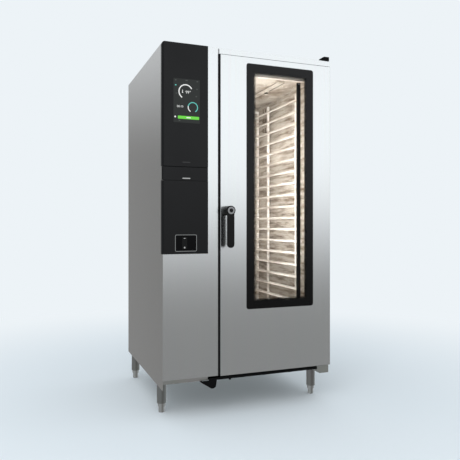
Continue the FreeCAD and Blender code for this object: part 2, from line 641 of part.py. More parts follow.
def coolingFan():
    """Axial fan that blows cooling air out of the control column."""
    near, far = "rearFace - skin - coolDepth", "rearFace - skin"
    frame = box("coolFrame", ("coolX - coolHalf", "coolX + coolHalf"), (near, far),
                ("coolZ - coolHalf", "coolZ + coolHalf"))
    tunnel = rod("coolTunnel", "y", ("coolX", "coolZ"), f"{near} - 5", f"{far} + 5", "coolRadius + 3")
    armX = box("coolArmX", ("coolX - coolHalf", "coolX + coolHalf"), (f"{far} - 5", far),
               ("coolZ - 4", "coolZ + 4"))
    armZ = box("coolArmZ", ("coolX - 4", "coolX + 4"), (f"{far} - 5", far),
               ("coolZ - coolHalf", "coolZ + coolHalf"))
    stator = rod("coolStator", "y", ("coolX", "coolZ"), f"{far} - 5", far, "20")
    pin = rod("coolPin", "y", ("coolX", "coolZ"), f"{near} + 4", far, "4")
    node(fuse("coolHousing", cut("coolShroud", frame, tunnel), armX, armZ, stator, pin),
         "cooling_fan_housing")
    hub = rod("coolHub", "y", ("coolX", "coolZ"), f"{near} + 2", f"{far} - 7", "20")
    blades = []
    for index in range(7):
        blade = doc.addObject("Part::Box", f"coolBlade{index}")
        blade.setExpression("Length", bound("coolRadius - 15"))
        blade.Width = 22
        blade.Height = 2
        tilt = FreeCAD.Rotation(FreeCAD.Vector(0, 1, 0), 360 / 7 * index + 20)
        pitch = FreeCAD.Rotation(FreeCAD.Vector(1, 0, 0), 28)
        start = tilt.multVec(FreeCAD.Vector(15, 0, 0))
        middle = FreeCAD.Vector(sizes["coolX"], sizes["rearFace"] - sizes["coolDepth"] + 4, sizes["coolZ"])
        blade.Placement = FreeCAD.Placement(middle + start, tilt.multiply(pitch))
        blades.append(blade)
    bore = rod("coolBore", "y", ("coolX", "coolZ"), f"{near}", far, "4 + bearing")
    node(cut("coolRotor", fuse("coolWheel", hub, *blades), bore), "cooling_fan_rotor")


# water, steam and drain -------------------------------------------------------

def tankBlock(name, grow, low, high):
    """Upright block with round corners; grow moves its walls outwards."""
    body = newBody(name)
    tank = pad(body, name + "Pad", "z", low, high,
               rectangle(f"tankLeft - ({grow})", f"tankRight + ({grow})", f"tankFront - ({grow})",
                         f"tankRear + ({grow})"))

    def upright(middle, direction, bounds):
        return abs(direction.z) > 0.99

    rounding(body, name + "Edge", tank, f"tankRound + ({grow})", upright)
    return body


def steamGenerator():
    """Sheet tank of the steam generator and the pipe from it to the cavity."""
    floor = "baseFloor + skin"
    outlet = rod("tankOutlet", "z", ("steamX", "steamY"), "tankTop - 10", "tankTop + 5",
                 "steamRadius - steamWall")
    node(cut("tankShell", tankBlock("tankOuter", "0", floor, "tankTop"),
             tankBlock("tankRoom", "-tankWall", f"{floor} + tankWall", "tankTop - tankWall"), outlet),
         "steam_generator")
    elbow = ("steamX", "steamY", "steamZ")
    bore = "steamRadius - steamWall"
    inside = fuse("steamInside",
                  rod("steamRiserBore", "z", elbow[:2], "tankTop - 5", "steamZ", bore),
                  ball("steamElbowBore", elbow, bore),
                  rod("steamBranchBore", "x", elbow[1:], "steamX", "cavityLeft", bore))
    outside = fuse("steamBody",
                   rod("steamRiser", "z", elbow[:2], "tankTop", "steamZ", "steamRadius"),
                   ball("steamElbow", elbow, "steamRadius"),
                   rod("steamBranch", "x", elbow[1:], "steamX", "cavityLeft - liner", "steamRadius"))
    node(cut("steamPipe", outside, inside), "steam_pipe")


def drainOutlet():
    """Elbow from the cavity floor to the 50 mm pipe end at the back."""
    end = "stubEnd + 6"
    outer = fuse("drainBody",
                 rod("drainDrop", "z", ("drainX", "drainY"), "drainZ", "cavityFloor - liner", "drainRadius"),
                 ball("drainElbow", ("drainX", "drainY", "drainZ"), "drainRadius"),
                 rod("drainRun", "y", ("drainX", "drainZ"), "drainY", end, "drainRadius"),
                 rod("drainFlange", "y", ("drainX", "drainZ"), "connectorFace + skin",
                     "connectorFace + skin + 3", "drainRadius + 10"))
    bore = "drainRadius - drainWall"
    inside = fuse("drainInside",
                  rod("drainDropBore", "z", ("drainX", "drainY"), "drainZ", "cavityFloor", bore),
                  ball("drainElbowBore", ("drainX", "drainY", "drainZ"), bore),
                  rod("drainRunBore", "y", ("drainX", "drainZ"), "drainY", f"{end} + 5", bore))
    node(cut("drainOutlet", outer, inside), "drain_outlet")


def steamVent():
    """Vent pipe out of the cavity ceiling, with its damper disc on a cross shaft."""
    tube = fuse("ventBody",
                rod("ventTube", "z", ("ventX", "ventY"), "cavityCeiling + liner", "ventTop", "ventRadius"),
                rod("ventFlange", "z", ("ventX", "ventY"), "topFace", "topFace + 2", "ventRadius + 15"))
    bore = rod("ventBore", "z", ("ventX", "ventY"), "cavityCeiling", "ventTop + 5", "ventRadius - ventWall")
    cross = rod("ventCross", "x", ("ventY", "damperZ"), "ventX - 40", "ventX + 40", "3 + bearing")
    node(cut("ventPipe", tube, bore, cross), "steam_vent_pipe")
    disc = rod("damperDisc", "z", ("ventX", "ventY"), "damperZ - 1", "damperZ + 1",
               "ventRadius - ventWall - 1")
    shaft = rod("damperShaft", "x", ("ventY", "damperZ"), "ventX - 36", "ventX + 42", "3")
    arm = box("damperArm", ("ventX + 38", "ventX + 42"), ("ventY - 4", "ventY + 4"),
              ("damperZ - 13", "damperZ + 4"))
    node(fuse("ventDamper", disc, shaft, arm), "vent_damper")


def waterInlet():
    """Solenoid valve inside, three-quarter-inch threaded stub outside."""
    valve = box("waterValve", ("waterX - 28", "waterX + 28"), ("connectorFace - 60", "connectorFace"),
                ("serviceZ - 25", "serviceZ + 25"))
    stub = rod("waterStub", "y", ("waterX", "serviceZ"), "connectorFace - 10", "stubEnd", "waterRadius")
    collar = rod("waterCollar", "y", ("waterX", "serviceZ"), "connectorFace + skin",
                 "connectorFace + skin + 4", "20")
    bore = rod("waterBore", "y", ("waterX", "serviceZ"), "connectorFace - 20", "stubEnd + 5", "9")
    node(cut("waterInlet", fuse("waterBody", valve, stub, collar), bore), "water_inlet_valve")


def cableGland():
    body = rod("glandBody", "y", ("glandX", "serviceZ"), "connectorFace - 14", "stubEnd", "glandRadius - 1")
    nut = rod("glandNut", "y", ("glandX", "serviceZ"), "connectorFace + skin", "connectorFace + 12", "26")
    bore = rod("glandBoreHole", "y", ("glandX", "serviceZ"), "connectorFace - 30", "stubEnd + 5", "glandBore")
    node(cut("cableGland", fuse("glandSolid", body, nut), bore), "cable_gland")


# underside --------------------------------------------------------------------

def legsAndFeet():
    """Four tubes under the base, each with a screw foot for levelling."""
    tubes = []
    for name, x, y in (("front_left", "-legX", "legFront"), ("front_right", "legX", "legFront"),
                       ("rear_left", "-legX", "legRear"), ("rear_right", "legX", "legRear")):
        tube = rod("leg_" + name, "z", (x, y), "legBottom", "baseFloor", "legRadius")
        bore = rod("bore_" + name, "z", (x, y), "legBottom - 5", "baseFloor - 10", "stemRadius + bearing")
        tubes.append(cut("tube_" + name, tube, bore))
        tread = rod("tread_" + name, "z", (x, y), "0", "collarBottom", "footRadius")
        collar = rod("collar_" + name, "z", (x, y), "collarBottom", "legBottom - slip", "footCollar")
        stem = rod("stem_" + name, "z", (x, y), "legBottom - 10", "stemTop", "stemRadius")
        node(fuse("screw_" + name, tread, collar, stem), "foot_" + name)
    node(group("legTubes", *tubes), "leg_tubes")


def spoutOutline(inset):
    """Section of the spout: a long slope from its left rim, a round nose and a steep right side."""
    left, right, low = f"spoutLeft + {inset}", f"spoutRight - {inset}", f"spoutLow + {inset}"
    return [(left, "trayFloor"), (left, f"{low} + 33"), (f"{right} - 28", low), (f"{right} - 16", low),
            (f"{right} - 5", f"{low} + 7"), (right, "trayFloor")]


def dripTray():
    """Channel under the door edge, draining to a rounded spout on the left."""
    length = ("trayLeft", "trayRight")
    top = "trayFloor + traySheet"
    floor = box("dripFloor", length, ("fasciaFront", "frameFront"), ("trayFloor", top))
    lip = box("dripLip", length, ("fasciaFront", "fasciaFront + lipSheet"), (top, "trayLip"))
    back = box("dripBack", ("columnRight + 1", "trayRight"), ("frameFront - traySheet", "frameFront"),
               (top, "trayBack"))
    body = newBody("dripSpout")
    pad(body, "spoutPad", "y", "fasciaFront", "spoutRear", spoutOutline("0"))
    pocket(body, "spoutPocket", "y", "fasciaFront + lipSheet", "spoutRear", spoutOutline("lipSheet"))
    node(fuse("dripTray", floor, lip, back, body), "drip_tray")


# door -------------------------------------------------------------------------

def doorSkin():
    """Folded pan of the door with its window, spindle and hinge holes."""
    body = newBody("doorPan")
    outer = pad(body, "panPad", "y", "frontFace", "frontFace + panDepth",
                rectangle("doorLeft", "halfWidth", "doorBottom", "doorTop"))
    hollow = pocket(body, "panHollow", "y", "frontFace + panSheet", "frontFace + panDepth",
                    rectangle("doorLeft + panSheet", "halfWidth - panSheet", "doorBottom + panSheet",
                              "doorTop - panSheet"))

    def frontUpright(middle, direction, bounds):
        atSide = middle.x < bounds.XMin + 0.1 or middle.x > bounds.XMax - 0.1
        return abs(direction.z) > 0.99 and atSide and middle.y < bounds.YMin + 0.1

    rounding(body, "panEdges", hollow, "panSheet - 0.2", frontUpright)
    holes = [
        roundedWindow("panWindow", "frontFace - 5", "frontFace + 5"),
        rod("panSpindle", "y", ("handleX", "handleZ"), "frontFace - 5", "frontFace + 5", "spindle + bearing"),
        rod("panPinTop", "z", ("hingeX", "hingeY"), "doorTop - 5", "doorTop + 5", "bushRadius"),
        rod("panPinBottom", "z", ("hingeX", "hingeY"), "doorBottom - 5", "doorBottom + 5", "bushRadius"),
    ]
    node(cut("doorSkin", body, *holes), "door_skin")


def roundedWindow(name, low, high):
    """Block with the outline of the outer pane."""
    body = newBody(name)
    block = pad(body, name + "Pad", "y", low, high,
                rectangle("windowLeft", "windowRight", "windowBottom", "windowTop"))
    rounding(body, name + "Corners", block, "windowCorner", alongY)
    return body


def mouth(name, rim, depth):
    """Block round the window opening of the door's inner frame, rim outside its edge."""
    return box(name, (f"windowLeft + innerRim - ({rim})", f"windowRight - innerRim + ({rim})"), depth,
               (f"windowBottom + innerRim - ({rim})", f"windowTop - innerRim + ({rim})"))


def innerFrame():
    """Folded inner sheet of the door: flat towards the cavity, with a seat for the inner pane."""
    front, back = "frontFace + panDepth", "doorBack"
    edge = "frameInset + fold"
    blank = box("innerBlank", ("doorLeft + frameInset", "halfWidth - frameInset"), (front, back),
                ("doorBottom + frameInset", "doorTop - frameInset"))
    trough = cut("innerTrough",
                 box("troughBlock", (f"doorLeft + {edge}", f"halfWidth - ({edge})"),
                     (f"{front} - 5", f"{back} - fold"), (f"doorBottom + {edge}", f"doorTop - ({edge})")),
                 mouth("troughMouth", "seatFlange", (f"{front} - 10", f"{back} + 5")))
    under = cut("innerUnder",
                mouth("underBlock", "seatFlange + 1", (f"{front} + fold", f"{back} - fold")),
                mouth("underMouth", "fold", (f"{front} - 10", f"{back} + 5")))
    through = (f"{front} - 5", f"{back} + 5")
    hole = rod("innerSpindle", "y", ("handleX", "handleZ"), *through, "spindle + bearing")
    node(cut("innerSheet", blank, mouth("innerMouth", "0", through), trough, under, hole), "door_inner_frame")


def doorInside():
    innerFrame()
    node(roundedWindow("outerPane", "frontFace", "frontFace + glass"), "outer_glass")
    back = "frontFace + panDepth"
    node(box("innerPane", ("windowLeft - glassOverlap", "windowRight + glassOverlap"),
             (f"{back} - glass", back), ("windowBottom - glassOverlap", "windowTop + glassOverlap")),
         "inner_glass")
    node(box("lightBar", ("lightLeft", "lightLeft + lightWidth"),
             (f"{back} - glass - lightDepth", f"{back} - glass"), ("lightBottom", "lightTop")),
         "door_light_bar")
    clips = []
    for side, edge, out in (("Left", "windowLeft - glassOverlap", "-"),
                            ("Right", "windowRight + glassOverlap", "+")):
        for level, middle in (("Low", "windowBottom + clipInset"), ("High", "windowTop - clipInset")):
            outward = f"{edge} {out} clipFoot"
            edges = (outward, edge) if out == "-" else (edge, outward)
            over = (outward, f"{edge} + clipTongue") if out == "-" else (f"{edge} - clipTongue", outward)
            height = (f"{middle} - clipHalf", f"{middle} + clipHalf")
            clips.append(fuse(f"clip{side}{level}",
                              box(f"clipFoot{side}{level}", edges, (f"{back} - glass", back), height),
                              box(f"clipTongue{side}{level}", over,
                                  (f"{back} - glass - 3", f"{back} - glass"), height)))
    node(group("glassClips", *clips), "glass_clips")
    bushes = []
    for level, low, high in (("Top", "doorTop - bushLength", "doorTop"),
                             ("Bottom", "doorBottom", "doorBottom + bushLength")):
        bushes.append(cut("bush" + level,
                          rod("bushBody" + level, "z", ("hingeX", "hingeY"), low, high, "bushRadius"),
                          rod("bushBore" + level, "z", ("hingeX", "hingeY"), f"{low} - 5", f"{high} + 5",
                              "pinRadius + bearing")))
    node(group("hingeBushes", *bushes), "hinge_bushes")


def hinges():
    """Lower bracket with its pin, upper plate with its pin, and the cap over it."""
    body = newBody("lowerBracket")
    top = "doorBottom - 1"
    pad(body, "bracketPad", "y", "frontFace", "frameFront", [
        ("bracketLeft", "bracketBottom + bracketChamfer"), ("bracketLeft + bracketChamfer", "bracketBottom"),
        ("bracketRight", "bracketBottom"), ("bracketRight", top), ("bracketLeft", top)])
    pin = rod("lowerPin", "z", ("hingeX", "hingeY"), "doorBottom - 20", "doorBottom + bushLength - 4",
              "pinRadius")
    node(fuse("lowerHinge", body, pin), "lower_hinge_bracket")
    plate = box("upperPlate", ("capLeft + capWall + 1", "capRight - capWall - 1"),
                ("frontFace + 1", "capRear - capWall - 1"), ("topFace", "topFace + 4"))
    upperPin = rod("upperPin", "z", ("hingeX", "hingeY"), "doorTop - bushLength + 4", "topFace + 8",
                   "pinRadius")
    node(fuse("upperHinge", plate, upperPin), "upper_hinge_bracket")
    shell = capBlock("capShell", "0", "topFace", "capFront", "capRear")
    room = capBlock("capRoom", "capWall", "topFace - 1", "capFront + capWall", "capRear - capWall")
    node(cut("upperCap", shell, room), "upper_hinge_cap")


def capBlock(name, inset, low, front, back):
    """Block whose upper left edge is round; inset moves its walls and top inwards."""
    body = newBody(name)
    block = pad(body, name + "Pad", "y", front, back,
                rectangle(f"capLeft + {inset}", f"capRight - {inset}", low, f"capTop - {inset}"))

    def leftTop(middle, direction, bounds):
        return abs(direction.y) > 0.99 and middle.x < bounds.XMin + 0.1 and middle.z > bounds.ZMax - 0.1

    rounding(body, name + "Round", block, f"capRound - {inset}", leftTop)
    return body


def handle():
    """Lever on its boss, the grey ring, and the spindle that carries the latch cam."""
    front, back = "leverFront", "leverFront + leverThick"
    lever = fuse("leverBlank",
                 rod("leverBoss", "y", ("handleX", "handleZ"), front, back, "bossRadius"),
                 rod("leverTip", "y", ("handleX", "leverEnd + leverWidth / 2"), front, back,
                     "leverWidth / 2"),
                 box("leverBar", ("handleX - leverWidth / 2", "handleX + leverWidth / 2"), (front, back),
                     ("leverEnd + leverWidth / 2", "handleZ")))
    doc.recompute()
    soft = doc.addObject("Part::Fillet", "leverSoft")
    soft.Base = lever
    soft.Edges = [(number, 3.0, 3.0) for number, edge in enumerate(lever.Shape.Edges, start=1)
                  if edge.BoundBox.YMax < lever.Shape.BoundBox.YMin + 0.1]
    node(soft, "handle_lever")
    hub = cut("hubBlank",
              rod("hubBody", "y", ("handleX", "handleZ"), back, "frontFace - 0.4", "bossRadius"),
              rod("hubBore", "y", ("handleX", "handleZ"), f"{back} + 8", "frontFace", "spindle"))
    node(hub, "handle_hub")
    ring = cut("ringBlank",
               rod("ringBody", "y", ("handleX", "handleZ"), f"{front} - 1.5", front, "ringRadius"),
               rod("ringEye", "y", ("handleX", "handleZ"), f"{front} - 5", f"{front} + 5", "ringHole"))
    node(ring, "handle_ring")
    near, far = "doorBack + slip", "doorBack + slip + 4.5"
    camRadius = "camWidth / 2"
    reach = "camLength / 2 - camWidth / 2"
    cam = [
        rod("spindleRod", "y", ("handleX", "handleZ"), f"{back} + 8", far, "spindle"),
        box("camBar", ("handleX - camWidth / 2", "handleX + camWidth / 2"), (near, far),
            (f"handleZ - ({reach})", f"handleZ + {reach}")),
        rod("camTop", "y", ("handleX", f"handleZ + {reach}"), near, far, camRadius),
        rod("camBottom", "y", ("handleX", f"handleZ - ({reach})"), near, far, camRadius),
    ]
    node(fuse("latchSpindle", *cam), "latch_spindle")


def latchCatch():
    """Plate on the front frame with the two rollers that the cam turns between."""
    plate = box("catchPlate", ("handleX - 18", "handleX - 2 + 8"), ("frameFront - 1.5", "frameFront"),
                ("handleZ - 34", "handleZ + 34"))
    rollers = []
    for side, sign in (("Top", "+"), ("Bottom", "-")):
        rollers.append(rod("roller" + side, "y", ("handleX - 6", f"handleZ {sign} rollerOffset"),
                           "frameFront - 6.5", "frameFront - 1.5", "rollerRadius"))
    node(fuse("latchCatch", plate, *rollers), "latch_catch")


for build in (sidePanels, rearPanel, connectionPanel, topPanel, baseTray, columnFrontPanel, topRail, baseRail,
              frontFrame, doorGasket, cavityLiner, cavityInsulation, fanBaffle, airCirculation, washChannel,
              trayRack, controlFascia, socketPlate, powerRocker, electronics, coolingFan, steamGenerator,
              drainOutlet, steamVent, waterInlet, cableGland, legsAndFeet, dripTray, doorSkin, doorInside,
              hinges, handle, latchCatch):
    build()
doc.recompute()

failed = [item.Name for item in doc.Objects if {"Invalid", "Error"} & set(item.State)]
if failed:
    raise RuntimeError("failed objects: " + ", ".join(failed))
for piece in nodes:
    if piece.Shape.isNull() or not piece.Shape.isValid() or not piece.Shape.Solids:
        raise RuntimeError("bad shape: " + piece.Label)

os.makedirs("parts", exist_ok=True)
for piece in nodes:
    piece.Shape.exportStep(f"parts/{piece.Label}.step")
print(len(nodes), "pieces written")
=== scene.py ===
import bmesh
import bpy
import math
from mathutils import Matrix, Vector


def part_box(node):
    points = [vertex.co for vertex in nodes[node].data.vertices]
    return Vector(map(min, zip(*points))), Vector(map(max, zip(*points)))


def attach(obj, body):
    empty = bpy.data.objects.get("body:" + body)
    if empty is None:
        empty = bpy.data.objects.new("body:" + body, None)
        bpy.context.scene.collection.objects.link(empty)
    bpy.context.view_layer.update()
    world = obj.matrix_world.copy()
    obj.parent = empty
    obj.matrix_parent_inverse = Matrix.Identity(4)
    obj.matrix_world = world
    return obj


# Floor-standing combi steamer oven around its fixed frame. Metres, front towards -Y, up +Z.

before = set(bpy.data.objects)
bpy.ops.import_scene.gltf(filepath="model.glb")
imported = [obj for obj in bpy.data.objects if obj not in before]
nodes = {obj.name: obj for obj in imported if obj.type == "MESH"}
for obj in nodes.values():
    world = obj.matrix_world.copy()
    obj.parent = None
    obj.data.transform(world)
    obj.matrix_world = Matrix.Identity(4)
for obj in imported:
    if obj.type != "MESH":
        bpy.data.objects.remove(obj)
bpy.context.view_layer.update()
mm = 0.001
print("frame loaded:", len(nodes), "nodes")


def fromHex(code):
    # sRGB hex to linear light
    parts = [int(code[i:i + 2], 16) / 255 for i in (0, 2, 4)]
    return tuple(c / 12.92 if c <= 0.04045 else ((c + 0.055) / 1.055) ** 2.4 for c in parts) + (1.0,)


def addNode(tree, kind, settings=None, inputs=None):
    # an input that is a socket is linked, anything else is its value
    made = tree.nodes.new(kind)
    for name, value in (settings or {}).items():
        setattr(made, name, value)
    for name, value in (inputs or {}).items():
        if isinstance(value, bpy.types.NodeSocket):
            tree.links.new(value, made.inputs[name])
        else:
            made.inputs[name].default_value = value
    return made


def newMaterial(name, metallic=0.0, roughness=0.5, specular=0.5, tone="808080"):
    # principled shader with its constant values on its own sockets
    made = bpy.data.materials.new(name)
    made.use_nodes = True
    tree = made.node_tree
    tree.nodes.clear()
    shader = addNode(tree, "ShaderNodeBsdfPrincipled", None, {
        "Base Color": fromHex(tone), "Metallic": metallic, "Roughness": roughness,
        "Specular IOR Level": specular})
    addNode(tree, "ShaderNodeOutputMaterial", None, {"Surface": shader.outputs["BSDF"]})
    return made, tree, shader


def brushedSteel(name, tone, along, roughness, line=3.0, specular=0.5):
    # AISI 304 sheet with a belt-brushed grain: soft streaks and a blurred mirror image.
    # The real lines are 0.1 mm apart; they are drawn some 3 mm apart so that they show.
    made, tree, shader = newMaterial(name, 1.0, roughness, specular, tone)
    scale = [1 / (line * mm)] * 3
    scale["XYZ".index(along)] = 1.6
    place = addNode(tree, "ShaderNodeTexCoord")
    stretch = addNode(tree, "ShaderNodeMapping", None,
                      {"Vector": place.outputs["Object"], "Scale": scale})
    lines = addNode(tree, "ShaderNodeTexNoise", None,
                    {"Vector": stretch.outputs["Vector"], "Scale": 1.0, "Detail": 4.0, "Roughness": 0.6})
    spread = addNode(tree, "ShaderNodeMapRange", None,
                     {"Value": lines.outputs["Fac"], "To Min": roughness - 0.04, "To Max": roughness + 0.05})
    tint = addNode(tree, "ShaderNodeMix", {"data_type": "RGBA", "blend_type": "MULTIPLY"},
                   {"Factor": 0.09, "A": fromHex(tone), "B": lines.outputs["Color"]})
    bump = addNode(tree, "ShaderNodeBump", None,
                   {"Strength": 0.04, "Distance": 0.4 * mm, "Height": lines.outputs["Fac"]})
    tree.links.new(tint.outputs["Result"], shader.inputs["Base Color"])
    tree.links.new(spread.outputs["Result"], shader.inputs["Roughness"])
    tree.links.new(bump.outputs["Normal"], shader.inputs["Normal"])
    return made


def mottled(name, tone, metallic, roughness, grain, depth=0.0, specular=0.5, patch=0.12):
    # even surface with a mottle of a real grain size in millimetres, as rolled, cast or moulded ones have
    made, tree, shader = newMaterial(name, metallic, roughness, specular, tone)
    place = addNode(tree, "ShaderNodeTexCoord")
    speck = addNode(tree, "ShaderNodeTexNoise", None,
                    {"Vector": place.outputs["Object"], "Scale": 1 / (grain * mm), "Detail": 3.0})
    cloud = addNode(tree, "ShaderNodeTexNoise", None,
                    {"Vector": place.outputs["Object"], "Scale": 9.0, "Detail": 2.0})
    spread = addNode(tree, "ShaderNodeMapRange", None,
                     {"Value": cloud.outputs["Fac"], "To Min": roughness * 0.85, "To Max": roughness * 1.2})
    tint = addNode(tree, "ShaderNodeMix", {"data_type": "RGBA", "blend_type": "MULTIPLY"},
                   {"Factor": patch, "A": fromHex(tone), "B": cloud.outputs["Color"]})
    tree.links.new(tint.outputs["Result"], shader.inputs["Base Color"])
    tree.links.new(spread.outputs["Result"], shader.inputs["Roughness"])
    if depth:
        bump = addNode(tree, "ShaderNodeBump", None,
                       {"Strength": 0.35, "Distance": depth * mm, "Height": speck.outputs["Fac"]})
        tree.links.new(bump.outputs["Normal"], shader.inputs["Normal"])
    return made


def streakShadedSteel(name, tone, paintedStreak, metallic, roughness, share):
    # sheet with painted reflections and rung shadows: brown streaks that run level along the walls, some 15
    # mm high and 200 mm long
    made, tree, shader = newMaterial(name, metallic, roughness, 0.5, tone)
    place = addNode(tree, "ShaderNodeTexCoord")
    level = addNode(tree, "ShaderNodeMapping", None,
                    {"Vector": place.outputs["Object"], "Scale": (5, 5, 42)})
    streak = addNode(tree, "ShaderNodeTexNoise", None,
                     {"Vector": level.outputs["Vector"], "Scale": 1.0, "Detail": 5.0, "Roughness": 0.65})
    amount = addNode(tree, "ShaderNodeMapRange", None,
                     {"Value": streak.outputs["Fac"], "From Min": 0.45, "From Max": 0.66, "To Max": share})
    tint = addNode(tree, "ShaderNodeMix", {"data_type": "RGBA"},
                   {"Factor": amount.outputs["Result"], "A": fromHex(tone), "B": fromHex(paintedStreak)})
    spread = addNode(tree, "ShaderNodeMapRange", None,
                     {"Value": streak.outputs["Fac"], "To Min": roughness - 0.12, "To Max": roughness + 0.15})
    bump = addNode(tree, "ShaderNodeBump", None,
                   {"Strength": 0.3, "Distance": 1.5 * mm, "Height": streak.outputs["Fac"]})
    tree.links.new(tint.outputs["Result"], shader.inputs["Base Color"])
    tree.links.new(spread.outputs["Result"], shader.inputs["Roughness"])
    tree.links.new(bump.outputs["Normal"], shader.inputs["Normal"])
    return made


def lit(name, tone, strength):
    # emission: light through a window in the panel for the screen and the lamp lens, a painted glow for
    # printed marks
    made, _, shader = newMaterial(name, roughness=0.4, specular=0.1, tone="000000")
    shader.inputs["Emission Color"].default_value = fromHex(tone)
    shader.inputs["Emission Strength"].default_value = strength
    return made


def printedGlass(name, low, high, border, fade):
    # toughened pane, enamelled black round its edge in dots that thin out into clear glass
    made, tree, shader = newMaterial(name, roughness=0.16, specular=0.13, tone="070707")
    place = addNode(tree, "ShaderNodeTexCoord")
    split = addNode(tree, "ShaderNodeSeparateXYZ", None, {"Vector": place.outputs["Object"]})
    inward = []
    for axis, index in (("X", 0), ("Z", 2)):
        middle, half = (low[index] + high[index]) / 2, (high[index] - low[index]) / 2
        shift = addNode(tree, "ShaderNodeMath", {"operation": "SUBTRACT"},
                        {0: split.outputs[axis], 1: middle})
        side = addNode(tree, "ShaderNodeMath", {"operation": "ABSOLUTE"}, {0: shift.outputs["Value"]})
        rest = addNode(tree, "ShaderNodeMath", {"operation": "SUBTRACT"},
                       {0: half, 1: side.outputs["Value"]})
        inward.append(rest.outputs["Value"])
    nearest = addNode(tree, "ShaderNodeMath", {"operation": "SMOOTH_MIN"},
                      {0: inward[0], 1: inward[1], 2: 0.012})
    cover = addNode(tree, "ShaderNodeMapRange", {"interpolation_type": "SMOOTHSTEP"},
                    {"Value": nearest.outputs["Value"], "From Min": border - fade / 2,
                     "From Max": border + fade / 2, "To Min": 1.0, "To Max": 0.04})
    tree.links.new(cover.outputs["Result"], shader.inputs["Alpha"])
    return made


def paint(material, *names):
    # a CAD node keeps its mesh and takes the material in its slots
    for name in names:
        node = nodes[name]
        if not node.material_slots:
            node.data.materials.append(material)
        for slot in node.material_slots:
            slot.material = material


def finishPiece(bm, name, material, body, smooth=False):
    # bmesh to an object that rides on a body
    bmesh.ops.recalc_face_normals(bm, faces=bm.faces)
    mesh = bpy.data.meshes.new(name)
    bm.to_mesh(mesh)
    bm.free()
    for face in mesh.polygons:
        face.use_smooth = smooth
    mesh.materials.append(material)
    piece = bpy.data.objects.new(name, mesh)
    bpy.context.scene.collection.objects.link(piece)
    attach(piece, body)
    return piece


def block(low, high, soft=0.0):
    # box between two corners in metres, its edges broken by soft
    bm = bmesh.new()
    bmesh.ops.create_cube(bm, size=1)
    bmesh.ops.scale(bm, vec=[b - a for a, b in zip(low, high)], verts=bm.verts)
    bmesh.ops.translate(bm, vec=[(a + b) / 2 for a, b in zip(low, high)], verts=bm.verts)
    if soft:
        bmesh.ops.bevel(bm, geom=list(bm.edges), offset=soft, segments=2, profile=0.5, affect="EDGES",
                        material=-1, clamp_overlap=True)
    return bm


def disc(centre, radius, depth, axis, sides=24, soft=0.0):
    # short round bar whose middle is at centre
    bm = bmesh.new()
    bmesh.ops.create_cone(bm, cap_ends=True, segments=sides, radius1=radius, radius2=radius, depth=depth)
    if soft:
        rims = [edge for edge in bm.edges if abs(edge.verts[0].co.z - edge.verts[1].co.z) < 1e-6]
        bmesh.ops.bevel(bm, geom=rims, offset=soft, segments=2, profile=0.5, affect="EDGES", material=-1)
    if axis != "Z":
        turn = Matrix.Rotation(math.radians(90), 3, "X" if axis == "Y" else "Y")
        bmesh.ops.rotate(bm, cent=(0, 0, 0), matrix=turn, verts=bm.verts)
    bmesh.ops.translate(bm, vec=centre, verts=bm.verts)
    return bm


def joined(parts):
    # several bmeshes in one
    bm = bmesh.new()
    for part in parts:
        loose = bpy.data.meshes.new("loose")
        part.to_mesh(loose)
        part.free()
        bm.from_mesh(loose)
        bpy.data.meshes.remove(loose)
    return bm


def roundedPlate(x, z, width, height, corner, front, thick):
    # plate that faces the front, its corners rounded
    bm = bmesh.new()
    bmesh.ops.create_grid(bm, x_segments=1, y_segments=1, size=0.5)
    bmesh.ops.scale(bm, vec=(width, height, 1), verts=bm.verts)
    bmesh.ops.bevel(bm, geom=list(bm.verts), offset=corner, segments=6, profile=0.5, affect="VERTICES",
                    material=-1)
    bmesh.ops.rotate(bm, cent=(0, 0, 0), matrix=Matrix.Rotation(math.radians(90), 3, "X"), verts=bm.verts)
    made = bmesh.ops.extrude_face_region(bm, geom=list(bm.faces))
    moved = [item for item in made["geom"] if isinstance(item, bmesh.types.BMVert)]
    bmesh.ops.translate(bm, vec=(0, thick, 0), verts=moved)
    bmesh.ops.translate(bm, vec=(x, front, z), verts=bm.verts)
    return bm


tones = {"front": "b1b3b3", "side": "a2a2a0", "inside": "c8c0b4", "paintedStreak": "6e5a46", "rack": "f2eee7",
         "rackPaintedStreak": "a08a72", "base": "8c8c89", "leg": "6c6c69", "fascia": "0d0d0e", "handle": "0c0c0c"}

# Outer sheets: brushed up and down in front, front to back at the sides
frontSteel = brushedSteel("brushedStainlessFront", tones["front"], "Z", 0.2)
# the side and rear sheets take a darker tone than the front ones: painted shade on the same steel
shadedSideAndRearSteel = brushedSteel("brushedStainlessSide", tones["side"], "Y", 0.23)
topSteel = brushedSteel("brushedStainlessTop", tones["front"], "Y", 0.26)
# Cavity sheets: bead-blasted, so they scatter most of the light; their warm tone is partly painted warm lamp
# light
# their level brown streaks are painted reflections and shadows of the rungs
cavitySteel = streakShadedSteel("blastedStainlessCavity", tones["inside"], tones["paintedStreak"], 0.35, 0.4, 1.0)
# Rack: electropolished, far brighter than the wall behind it
# the rack's brown streaks are painted reflections and shadows too
rackSteel = streakShadedSteel("electropolishedStainlessRack", tones["rack"], tones["rackPaintedStreak"], 0.3, 0.3, 0.6)
# Base, hinges and legs: satin, a little darker than the sheets
satinSteel = mottled("satinStainlessBase", tones["base"], 1.0, 0.36, 2.0, 0.01)
legSteel = mottled("drawnStainlessLeg", tones["leg"], 1.0, 0.3, 2.0, 0.01)
